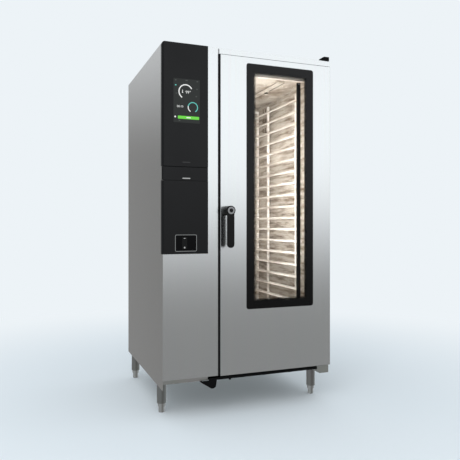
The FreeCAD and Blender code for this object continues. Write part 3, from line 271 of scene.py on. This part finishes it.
# Screw feet: turned and polished, hard highlights
turnedSteel = mottled("turnedStainlessFoot", "8f8f8d", 1.0, 0.14, 2.0)
zincPlate = mottled("zincPlatedSteel", "a9aaa6", 1.0, 0.35, 1.5)
turnedBrass = mottled("turnedBrass", "c9a35a", 1.0, 0.3, 1.5)
heatedSteel = mottled("heatTintedSheath", "6b5a4a", 1.0, 0.45, 2.0)
# Fascia: etched black glass, a faint even sheen
fasciaBlack = mottled("etchedBlackGlass", tones["fascia"], 0.0, 0.34, 0.8, 0.01, specular=0.13)
bezelBlack = mottled("glossBlackPolycarbonate", "040405", 0.0, 0.14, 2.0, specular=0.05)
# Handle, caps and tray: glass-filled nylon with a fine spark-eroded grain
handleBlack = mottled("blackPolyamideHandle", tones["handle"], 0.0, 0.36, 0.8, 0.05, specular=0.1)
coverBlack = mottled("blackPolypropyleneCover", "070708", 0.0, 0.55, 0.9, 0.06, specular=0.06)
barBlack = mottled("blackAnodisedLampStrip", "1d1b1a", 0.0, 0.5, 0.9, specular=0.1)
rubberBlack = mottled("blackSiliconeRubber", "0b0b0b", 0.0, 0.6, 1.2, 0.05, specular=0.25)
ringGrey = mottled("anodisedAluminiumRing", "747575", 1.0, 0.28, 1.0)
greyNylon = mottled("greyPolyamideGland", "6d6e70", 0.0, 0.5, 1.0, 0.05)
# Insulation: pressed mineral wool, straw yellow and quite matt
woolYellow = mottled("pressedMineralWool", "b59d5c", 0.0, 0.95, 4.0, 1.5, specular=0.1, patch=0.4)
castPaint = mottled("paintedCastIronMotor", "3c4146", 0.0, 0.45, 2.5, 0.3)
boardGreen = mottled("lacqueredCircuitBoard", "0f4a2c", 0.0, 0.3, 3.0)

paint(frontSteel, "column_front_panel", "door_skin", "top_rail")
paint(shadedSideAndRearSteel, "left_side_panel", "right_side_panel", "rear_panel", "connection_panel")
paint(topSteel, "top_panel")
paint(cavitySteel, "cavity_liner", "fan_baffle", "wash_channel", "vent_damper")
paint(satinSteel, "base_tray", "base_rail", "door_inner_frame", "lower_hinge_bracket",
      "steam_generator", "steam_pipe", "drain_outlet", "steam_vent_pipe")
paint(rackSteel, "front_frame", "rack_frame", "rack_ladder_left", "rack_ladder_right",
      "fan_wheel_upper", "fan_wheel_lower")
paint(turnedSteel, "foot_front_left", "foot_front_right", "foot_rear_left", "foot_rear_right")
paint(legSteel, "leg_tubes")
paint(zincPlate, "upper_hinge_bracket", "latch_catch", "latch_spindle", "glass_clips")
paint(turnedBrass, "water_inlet_valve", "hinge_bushes")
paint(heatedSteel, "heating_coils")
paint(fasciaBlack, "control_fascia", "lower_fascia", "service_flap")
paint(bezelBlack, "rocker_bezel")
paint(handleBlack, "handle_hub", "handle_lever", "power_rocker")
paint(coverBlack, "upper_hinge_cap", "drip_tray", "socket_plate", "cooling_fan_housing", "cooling_fan_rotor")
paint(barBlack, "door_light_bar")
paint(rubberBlack, "door_gasket")
paint(ringGrey, "handle_ring")
paint(greyNylon, "cable_gland")
paint(woolYellow, "cavity_insulation")
paint(castPaint, "fan_motors")
paint(boardGreen, "main_board")
print("finishes done")


pane = {"border": 47 * mm, "fade": 22 * mm, "inner": "b9b2a6", "film": 0.05}


def makePanes():
    # printed outer pane; the inner one has a film that is almost invisible
    low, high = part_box("outer_glass")
    paint(printedGlass("enamelledToughenedGlass", low, high, pane["border"], pane["fade"]), "outer_glass")
    film, _, shader = newMaterial("filmCoatedInnerPane", roughness=0.05, specular=0.3, tone=pane["inner"])
    shader.inputs["Alpha"].default_value = pane["film"]
    paint(film, "inner_glass")


makePanes()


lamp = {"inset": 3 * mm, "proud": 1.5 * mm, "end": 12 * mm, "glow": 1.3, "tone": "fff8ee",
        "screwEnd": 6 * mm, "screwRadius": 3 * mm, "screwHeight": 1.2 * mm}


def makeLampLens():
    # frosted lens of the lamp strip, on the side that faces the cavity
    low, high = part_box("door_light_bar")
    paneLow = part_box("inner_glass")[0].y
    lens = block((high.x, low.y + lamp["inset"], low.z + lamp["end"]),
                 (high.x + lamp["proud"], paneLow - 1 * mm, high.z - lamp["end"]), 0.4 * mm)
    frosted = lit("frostedLampLens", lamp["tone"], lamp["glow"])
    finishPiece(lens, "lampStripLens", frosted, "door")
    screws = []
    for z in (low.z + lamp["screwEnd"], high.z - lamp["screwEnd"]):
        screws.append(disc(((low.x + high.x) / 2, low.y - 0.4 * mm, z), lamp["screwRadius"],
                           lamp["screwHeight"], "Y", 12, 0.3 * mm))
    finishPiece(joined(screws), "lampStripScrews", zincPlate, "door", True)


makeLampLens()
print("door glass and lamp done")


# Lengths in millimetres from the lower left corner of the screen; lift and thick are in metres
screen = {
    "lift": 0.3 * mm, "thick": 0.25 * mm,
    "bigArc": {"x": 61.5, "z": 151.5, "radius": 34, "width": 5.4, "start": 238, "end": 28},
    "smallArc": {"x": 98, "z": 77.5, "radius": 24, "width": 4.4, "white": (240, 168), "teal": (168, -58)},
    "bar": {"x": 76, "z": 25.5, "width": 108, "height": 14.5},
    "mark": {"width": 22, "height": 5},
    # from the middle of the big arc: x, z, width, height, corner
    "stem": (-16, 3, 2.6, 12, 1.2), "bulb": (-16, -4, 5.6, 5.6, 2.7),
    "barIcon": (8.5, 27, 8.5, 8.5, 4.2),
    "digits": ((74, 149, "99°", 20), (33, 78, "00:10", 14.5)),
    "icons": ((11, 181, 8, "teal"), (14, 141, 6, "dim"), (119, 168, 6, "dim"), (116, 132, 8, "dim"),
              (11, 205, 8, "dim"), (66, 207, 12, "dim"), (121, 206, 9, "dim"), (30, 10, 9, "dim")),
}
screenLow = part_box("display_panel")[0]
screenFront = screenLow.y - screen["lift"]


def onScreen(x, z):
    return screenLow.x + x * mm, screenLow.z + z * mm


def arcBand(name, spec, start, end, material):
    # one short edge spun round the middle of the dial, then given its thickness
    x, z = onScreen(spec["x"], spec["z"])
    angle = math.radians(start)
    bm = bmesh.new()
    ends = []
    for reach in (spec["radius"] - spec["width"] / 2, spec["radius"] + spec["width"] / 2):
        ends.append(bm.verts.new((x + reach * mm * math.cos(angle), screenFront,
                                  z + reach * mm * math.sin(angle))))
    edge = bm.edges.new(ends)
    bmesh.ops.spin(bm, geom=[edge] + ends, cent=(x, screenFront, z), axis=(0, -1, 0),
                   angle=math.radians(end - start), steps=max(6, int(abs(end - start) / 5)))
    bmesh.ops.remove_doubles(bm, verts=bm.verts, dist=1e-6)
    bmesh.ops.solidify(bm, geom=list(bm.faces), thickness=screen["thick"])
    finishPiece(bm, name, material, "cabinet")


def digits(name, text, x, z, height, material):
    # figures as a thin mesh that faces the front
    curve = bpy.data.curves.new(name, "FONT")
    curve.body = text
    curve.size = height
    curve.align_x = "CENTER"
    curve.align_y = "CENTER"
    curve.extrude = screen["thick"] / 2
    curve.resolution_u = 3
    holder = bpy.data.objects.new(name + "Curve", curve)
    bpy.context.scene.collection.objects.link(holder)
    bpy.context.view_layer.update()
    mesh = bpy.data.meshes.new_from_object(holder)
    bpy.data.objects.remove(holder)
    mesh.transform(Matrix.Translation((x, screenFront, z)) @ Matrix.Rotation(math.radians(90), 4, "X"))
    mesh.materials.clear()
    mesh.materials.append(material)
    piece = bpy.data.objects.new(name, mesh)
    bpy.context.scene.collection.objects.link(piece)
    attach(piece, "cabinet")


def screenPlate(name, x, z, width, height, corner, material, lift=0.0):
    px, pz = onScreen(x, z)
    bm = roundedPlate(px, pz, width * mm, height * mm, corner * mm, screenFront - lift, screen["thick"])
    finishPiece(bm, name, material, "cabinet")


def makeScreen():
    glow = {"white": lit("screenWhite", "f2f4f3", 0.95), "teal": lit("screenTeal", "66c8be", 0.95),
            "green": lit("screenGreen", "70d94c", 1.0), "dim": lit("screenGrey", "626665", 0.6)}
    paint(lit("screenGround", "323534", 0.8), "display_panel")
    big, small, bar = screen["bigArc"], screen["smallArc"], screen["bar"]
    arcBand("temperatureArc", big, big["start"], big["end"], glow["white"])
    arcBand("timeArcStart", small, *small["white"], glow["white"])
    arcBand("timeArcRest", small, *small["teal"], glow["teal"])
    for index, (x, z, text, height) in enumerate(screen["digits"]):
        px, pz = onScreen(x, z)
        digits(f"screenDigits{index}", text, px, pz, height * mm, glow["white"])
    for name, (x, z, width, height, corner) in (("Stem", screen["stem"]), ("Bulb", screen["bulb"])):
        screenPlate("thermometer" + name, big["x"] + x, big["z"] + z, width, height, corner, glow["white"])
    screenPlate("startBar", bar["x"], bar["z"], bar["width"], bar["height"], 1.5, glow["green"])
    screenPlate("startBarMark", bar["x"], bar["z"], screen["mark"]["width"], screen["mark"]["height"], 1.6,
                glow["white"], screen["thick"])
    screenPlate("barIcon", *screen["barIcon"], glow["white"])
    for index, (x, z, width, kind) in enumerate(screen["icons"]):
        screenPlate(f"menuIcon{index}", x, z, width, 5, 2, glow[kind])


makeScreen()
print("screen done")


marks = {"x": -348 * mm, "flapZ": 1181.5 * mm, "sensorZ": 1260 * mm, "length": 40 * mm, "height": 5 * mm,
         "round": 2 * mm, "proud": 0.3 * mm, "thick": 0.4 * mm, "outline": 2.4 * mm,
         "outlineThick": 0.5 * mm, "corner": 7 * mm}


def makeMarks():
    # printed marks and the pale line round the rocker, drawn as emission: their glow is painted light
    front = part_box("service_flap")[0].y - marks["proud"]
    pale, faint = lit("glowingPaleMark", "c4c6c6", 0.75), lit("glowingFaintMark", "464748", 0.6)
    for name, z, material, body in (("flapMark", marks["flapZ"], pale, "service_flap"),
                                    ("sensorMark", marks["sensorZ"], faint, "cabinet")):
        bm = roundedPlate(marks["x"], z, marks["length"], marks["height"], marks["round"], front,
                          marks["thick"])
        finishPiece(bm, name, material, body)
    low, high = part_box("rocker_bezel")
    bm = roundedPlate((low.x + high.x) / 2, (low.z + high.z) / 2, high.x - low.x, high.z - low.z,
                      marks["corner"], low.y - marks["outlineThick"], marks["outlineThick"])
    flat = [face for face in bm.faces if abs(face.normal.y) > 0.9]
    bmesh.ops.inset_region(bm, faces=flat, thickness=marks["outline"], use_even_offset=True)
    bmesh.ops.delete(bm, geom=flat, context="FACES")
    finishPiece(bm, "rockerOutline", lit("glowingPrintedOutline", "9c9f9f", 0.7), "cabinet")
    keyLow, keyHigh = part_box("power_rocker")
    for name, z, width, height in (("onMark", keyHigh.z - 7 * mm, 9 * mm, 3 * mm),
                                   ("offMark", keyLow.z + 8 * mm, 8 * mm, 8 * mm)):
        bm = roundedPlate((keyLow.x + keyHigh.x) / 2, z, width, height, min(width, height) * 0.48,
                          keyLow.y - marks["proud"], marks["thick"])
        finishPiece(bm, name, pale, "power_rocker")


makeMarks()
print("marks done")


gap = {"inset": 3 * mm, "front": 4 * mm, "deep": 68 * mm, "soft": 1.5 * mm,
       "endLow": 3 * mm, "endHigh": 26 * mm, "endInset": 6 * mm}


def makeGapFill():
    # black block that fills the gap beside the door and keeps it dark all the way in, and the grey end of it
    # above the door
    doorLow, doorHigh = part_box("door_skin")
    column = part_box("column_front_panel")[1].x
    front = doorLow.y
    gapFill = block((column, front + gap["front"], doorLow.z),
                 (doorLow.x - gap["inset"], front + gap["deep"], doorHigh.z), gap["soft"])
    finishPiece(gapFill, "columnGapBlackFill", rubberBlack, "cabinet")
    end = block((column + 1 * mm, front - 0.4 * mm, doorHigh.z + gap["endLow"]),
                (doorLow.x - gap["endInset"], front + 0.5 * mm, doorHigh.z + gap["endHigh"]), 0.2 * mm)
    finishPiece(end, "columnSealEnd", ringGrey, "cabinet")


makeGapFill()


spigot = {"x": -115 * mm, "under": 180 * mm, "behind": 14 * mm, "radius": 6 * mm, "drop": 9 * mm}
clip = {"from": (22, 60, 180, 330), "width": 16 * mm, "half": 6 * mm, "drop": 3.5 * mm, "soft": 0.8 * mm}


def makeTrayFittings():
    # drain spigot and four clips under the drip channel, the clips set off from the spigot in millimetres
    y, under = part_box("drip_tray")[0].y + spigot["behind"], spigot["under"]
    parts = [disc((spigot["x"], y, under - spigot["drop"] / 2), spigot["radius"], spigot["drop"], "Z", 20,
                  1 * mm)]
    for shift in clip["from"]:
        x = spigot["x"] + shift * mm
        parts.append(block((x, y - clip["half"], under - clip["drop"]),
                           (x + clip["width"], y + clip["half"], under), clip["soft"]))
    finishPiece(joined(parts), "trayFittings", coverBlack, "cabinet")


makeTrayFittings()
print("seal and tray fittings done")


# Millimetres: ring radii, wire radius, and the spokes' length and distance of their middle
guard = {"rings": (25, 50, 75, 100, 118), "wire": 1.6, "spokes": 8, "length": 100, "middle": 74}


def ringWire(centre, radius, wire):
    # ring across X; the spun circle stands edge on, so the ring is a thin flat band, not a round wire
    bm = bmesh.new()
    made = bmesh.ops.create_circle(bm, cap_ends=False, segments=6, radius=wire)
    bmesh.ops.translate(bm, vec=(0, radius, 0), verts=made["verts"])
    for pivot, axis in (((0, 0, 0), "Y"), ((0, radius, 0), "Z"), ((0, radius, 0), "Y")):
        turn = Matrix.Rotation(math.radians(90), 3, axis)
        bmesh.ops.rotate(bm, cent=pivot, matrix=turn, verts=bm.verts)
    bmesh.ops.spin(bm, geom=list(bm.edges) + list(bm.verts), cent=(0, 0, 0), axis=(1, 0, 0),
                   angle=math.radians(360), steps=40, use_merge=True)
    bmesh.ops.remove_doubles(bm, verts=bm.verts, dist=1e-6)
    bmesh.ops.translate(bm, vec=centre, verts=bm.verts)
    return bm


def makeFanGuards():
    # wire guard over each eye of the baffle
    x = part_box("fan_baffle")[1].x + guard["wire"] * mm
    for name in ("upper", "lower"):
        low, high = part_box("fan_wheel_" + name)
        y, z = (low.y + high.y) / 2, (low.z + high.z) / 2
        parts = [ringWire((x, y, z), radius * mm, guard["wire"] * mm) for radius in guard["rings"]]
        for index in range(guard["spokes"]):
            spoke = disc((0, 0, 0), guard["wire"] * mm, guard["length"] * mm, "Z", 6)
            bmesh.ops.translate(spoke, vec=(0, 0, guard["middle"] * mm), verts=spoke.verts)
            turn = Matrix.Rotation(math.radians(360 / guard["spokes"] * index), 3, "X")
            bmesh.ops.rotate(spoke, cent=(0, 0, 0), matrix=turn, verts=spoke.verts)
            bmesh.ops.translate(spoke, vec=(x + guard["wire"] * mm, y, z), verts=spoke.verts)
            parts.append(spoke)
        finishPiece(joined(parts), "fanGuard" + name.capitalize(), rackSteel, "cabinet",
                    True)


makeFanGuards()


rackHook = {"rows": (172 * mm, 204 * mm), "drop": 34, "pitch": 62, "count": 3, "width": 7 * mm,
            "near": 2 * mm, "far": 6 * mm, "reach": 20 * mm, "thick": 4 * mm, "high": 26 * mm,
            "soft": 0.8 * mm}


def makeRackFittings():
    # hooks that hold the rack upright against the right wall, near the ceiling
    low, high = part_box("rack_ladder_right")
    parts = []
    near = low.x + rackHook["near"]
    for y in rackHook["rows"]:
        for index in range(rackHook["count"]):
            z = high.z - (rackHook["drop"] + rackHook["pitch"] * index) * mm
            top = z + rackHook["thick"]
            side = y + rackHook["width"]
            parts.append(block((near, y, z), (high.x + rackHook["reach"], side, top), rackHook["soft"]))
            parts.append(block((near, y, top), (low.x + rackHook["far"], side, z + rackHook["high"]),
                               rackHook["soft"]))
    finishPiece(joined(parts), "rackHooks", heatedSteel, "cabinet")


makeRackFittings()


groove = {"width": 4 * mm, "outside": 1 * mm, "below": 0.8 * mm, "above": 0.4 * mm, "rear": 300 * mm,
          "channel": 12 * mm, "nozzleY": -120 * mm, "capRadius": 10 * mm, "capHeight": 9 * mm}


def makeChannelGrooves():
    # dark strips along both lower edges of the ceiling channel, a painted shadow gap, and a dark cap on its
    # nozzle
    low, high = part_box("wash_channel")
    # dark brown tone that paints the shade in the gaps beside the channel
    dark = mottled("paintedShadowStripsAndCap", "2c241d", 0.0, 0.6, 3.0)
    under = high.z - groove["channel"]
    parts = []
    for near, far in ((low.x - groove["outside"], low.x + groove["width"]),
                      (high.x - groove["width"], high.x + groove["outside"])):
        parts.append(block((near, low.y, under - groove["below"]),
                           (far, groove["rear"], under + groove["above"]), 0.3 * mm))
    finishPiece(joined(parts), "channelShadowStrips", dark, "cabinet")
    cap = disc(((low.x + high.x) / 2, groove["nozzleY"], low.z + 5 * mm), groove["capRadius"],
               groove["capHeight"], "Z", 24, 0.8 * mm)
    finishPiece(cap, "nozzleCap", dark, "cabinet", True)


makeChannelGrooves()
print("cavity fittings done")


screws = {"radius": 4.2, "height": 1.6, "edge": 14, "sunk": 0.75, "upright": 7, "level": 3, "top": 4}


def screwRow(first, last, count, axis):
    # pan-head screws in a line between two points
    heads = []
    for index in range(count):
        centre = Vector(first).lerp(Vector(last), index / (count - 1))
        head = disc(centre, screws["radius"] * mm, screws["height"] * mm, axis, 14, 0.5 * mm)
        heads.append(head)
    return heads


def makeScrews():
    # screws round the rear panel and along the back edge of the top panel
    low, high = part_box("rear_panel")
    edge, back = screws["edge"] * mm, high.y - screws["sunk"] * mm
    heads = []
    for x in (low.x + edge, high.x - edge):
        heads += screwRow((x, back, low.z + edge), (x, back, high.z - edge), screws["upright"], "Y")
    for z in (high.z - edge, low.z + edge):
        heads += screwRow((low.x + 5 * edge, back, z), (high.x - 5 * edge, back, z), screws["level"], "Y")
    finishPiece(joined(heads), "rearPanelScrews", zincPlate, "cabinet", True)
    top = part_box("top_panel")[1]
    heads = screwRow((-top.x + 5 * edge, top.y - edge, top.z + 0.3 * mm),
                     (top.x - 5 * edge, top.y - edge, top.z + 0.3 * mm), screws["top"], "Z")
    finishPiece(joined(heads), "topPanelScrews", zincPlate, "cabinet", True)


makeScrews()


thread = {"x": -300 * mm, "z": 230 * mm, "radius": 13.1 * mm, "ridge": 1.4 * mm, "ridges": 6,
          "start": 4, "pitch": 3, "swell": 1.035}


def makeThreads():
    # ridges of the water inlet's thread
    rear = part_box("water_inlet_valve")[1].y
    middle = Matrix.Translation((-thread["x"], 0, -thread["z"]))
    ridges = []
    for index in range(thread["ridges"]):
        y = rear - (thread["start"] + thread["pitch"] * index) * mm
        ridge = disc((thread["x"], y, thread["z"]), thread["radius"], thread["ridge"], "Y", 32, 0.5 * mm)
        bmesh.ops.scale(ridge, vec=(thread["swell"], 1, thread["swell"]), space=middle, verts=ridge.verts)
        ridges.append(ridge)
    finishPiece(joined(ridges), "waterThread", turnedBrass, "cabinet", True)


makeThreads()
print("screws and threads done")


studio = {"world": "edf3f7", "camera": (-1.1073, -2.9895, 0.9569), "yaw": -21.02, "lens": 42.76,
          "shift": -0.0125, "boardLow": -3.2, "boardHigh": 5.2}
# Metres: the floor's own tone ends between near and far, where it takes the tone of the surroundings
ground = {"tone": "e4eaee", "radius": 40, "near": 0.9, "far": 3.2}
# Large plain boards for the steel to reflect: grey low down, white high up, heights in metres
boards = {
    "front": {"place": (2.6, -7.0), "width": 10.0, "strength": 2.4, "low": "808080", "high": "f2f5f8",
              "from": -0.5, "to": 2.0},
    "side": {"place": (-3.0, 6.5), "width": 8.0, "strength": 1.15, "low": "a0a0a0", "high": "f2f5f8",
             "from": 2.0, "to": 4.5},
}


def makeFloor():
    # pale floor that catches the shadow near the oven and melts into the surroundings further out
    bm = bmesh.new()
    bmesh.ops.create_circle(bm, cap_ends=True, segments=48, radius=ground["radius"])
    mesh = bpy.data.meshes.new("floor")
    bm.to_mesh(mesh)
    bm.free()
    made = bpy.data.materials.new("paleStudioFloor")
    made.use_nodes = True
    tree = made.node_tree
    tree.nodes.clear()
    place = addNode(tree, "ShaderNodeTexCoord")
    reach = addNode(tree, "ShaderNodeVectorMath", {"operation": "LENGTH"}, {0: place.outputs["Object"]})
    far = addNode(tree, "ShaderNodeMapRange", {"interpolation_type": "SMOOTHSTEP"},
                  {"Value": reach.outputs["Value"], "From Min": ground["near"], "From Max": ground["far"]})
    near = addNode(tree, "ShaderNodeBsdfDiffuse", None, {"Color": fromHex(ground["tone"])})
    haze = addNode(tree, "ShaderNodeEmission", None, {"Color": fromHex(studio["world"]), "Strength": 1.0})
    mix = addNode(tree, "ShaderNodeMixShader", None,
                  {0: far.outputs["Result"], 1: near.outputs["BSDF"], 2: haze.outputs["Emission"]})
    addNode(tree, "ShaderNodeOutputMaterial", None, {"Surface": mix.outputs["Shader"]})
    mesh.materials.append(made)
    floor = bpy.data.objects.new("floor", mesh)
    bpy.context.scene.collection.objects.link(floor)
    floor.visible_glossy = False


def makeBoard(name, spec):
    # large soft board that only shows in reflections
    bm = bmesh.new()
    bmesh.ops.create_grid(bm, x_segments=1, y_segments=1, size=0.5)
    low, high = studio["boardLow"], studio["boardHigh"]
    bmesh.ops.scale(bm, vec=(spec["width"], high - low, 1), verts=bm.verts)
    bmesh.ops.rotate(bm, cent=(0, 0, 0), matrix=Matrix.Rotation(math.radians(90), 3, "X"), verts=bm.verts)
    bmesh.ops.translate(bm, vec=(*spec["place"], (low + high) / 2), verts=bm.verts)
    mesh = bpy.data.meshes.new(name)
    bm.to_mesh(mesh)
    bm.free()
    made = bpy.data.materials.new(name)
    made.use_nodes = True
    tree = made.node_tree
    tree.nodes.clear()
    place = addNode(tree, "ShaderNodeTexCoord")
    split = addNode(tree, "ShaderNodeSeparateXYZ", None, {"Vector": place.outputs["Object"]})
    height = addNode(tree, "ShaderNodeMapRange", {"interpolation_type": "SMOOTHSTEP"},
                     {"Value": split.outputs["Z"], "From Min": spec["from"], "From Max": spec["to"]})
    both = addNode(tree, "ShaderNodeMix", {"data_type": "RGBA"},
                   {"Factor": height.outputs["Result"], "A": fromHex(spec["low"]),
                    "B": fromHex(spec["high"])})
    glow = addNode(tree, "ShaderNodeEmission", None,
                   {"Color": both.outputs["Result"], "Strength": spec["strength"]})
    addNode(tree, "ShaderNodeOutputMaterial", None, {"Surface": glow.outputs["Emission"]})
    mesh.materials.append(made)
    board = bpy.data.objects.new(name, mesh)
    bpy.context.scene.collection.objects.link(board)
    for seen in ("camera", "diffuse", "shadow", "transmission"):
        setattr(board, "visible_" + seen, False)


# None of these shows in reflections; size in metres, power in watts
lights = {
    "keySoftbox": {"place": (-2.2, -3.4, 3.4), "aim": (0, 0, 0.9), "size": (2.6, 2.6), "power": 55},
    "cavityStrip": {"place": (0.30, -0.29, 1.2), "aim": (0.25, 0.4, 1.2), "size": (0.05, 0.95), "power": 1.2},
    "cavityFill": {"place": (0.06, -0.28, 1.2), "aim": (0.4, 0.2, 1.25), "size": (0.12, 0.9), "power": 7.8},
    "cavityCeilingLamp": {"place": (0.19, 0.0, 1.40), "aim": (0.24, 0.05, 1.74), "size": (0.2, 0.5),
                          "power": 0.7},
    "lipLamp": {"place": (0.16, -0.352, 1.69), "aim": (0.16, -0.325, 1.75), "size": (0.36, 0.02),
                "power": 0.16, "tone": "fff6ea"},
}


def makeLights():
    for name, spec in lights.items():
        made = bpy.data.lights.new(name, "AREA")
        made.shape = "RECTANGLE"
        made.size, made.size_y = spec["size"]
        made.energy = spec["power"]
        made.color = fromHex(spec.get("tone", "ffffff"))[:3]
        lampObject = bpy.data.objects.new(name, made)
        bpy.context.scene.collection.objects.link(lampObject)
        lampObject.location = spec["place"]
        way = Vector(spec["aim"]) - Vector(spec["place"])
        lampObject.rotation_euler = way.to_track_quat("-Z", "Y").to_euler()
        lampObject.visible_camera = False
        lampObject.visible_glossy = False


def makeStudio():
    scene = bpy.context.scene
    world = bpy.data.worlds.new("studio")
    world.use_nodes = True
    world.node_tree.nodes["Background"].inputs["Color"].default_value = fromHex(studio["world"])
    world.node_tree.nodes["Background"].inputs["Strength"].default_value = 1.0
    scene.world = world
    makeFloor()
    for name, spec in boards.items():
        makeBoard(name + "Board", spec)
    makeLights()
    view = bpy.data.cameras.new("camera")
    view.lens = studio["lens"]
    view.sensor_width = 36
    view.shift_y = studio["shift"]
    holder = bpy.data.objects.new("camera", view)
    scene.collection.objects.link(holder)
    holder.location = studio["camera"]
    holder.rotation_euler = (math.radians(90), 0, math.radians(studio["yaw"]))
    scene.camera = holder
    scene.view_settings.view_transform = "Standard"


makeStudio()
print("studio done")
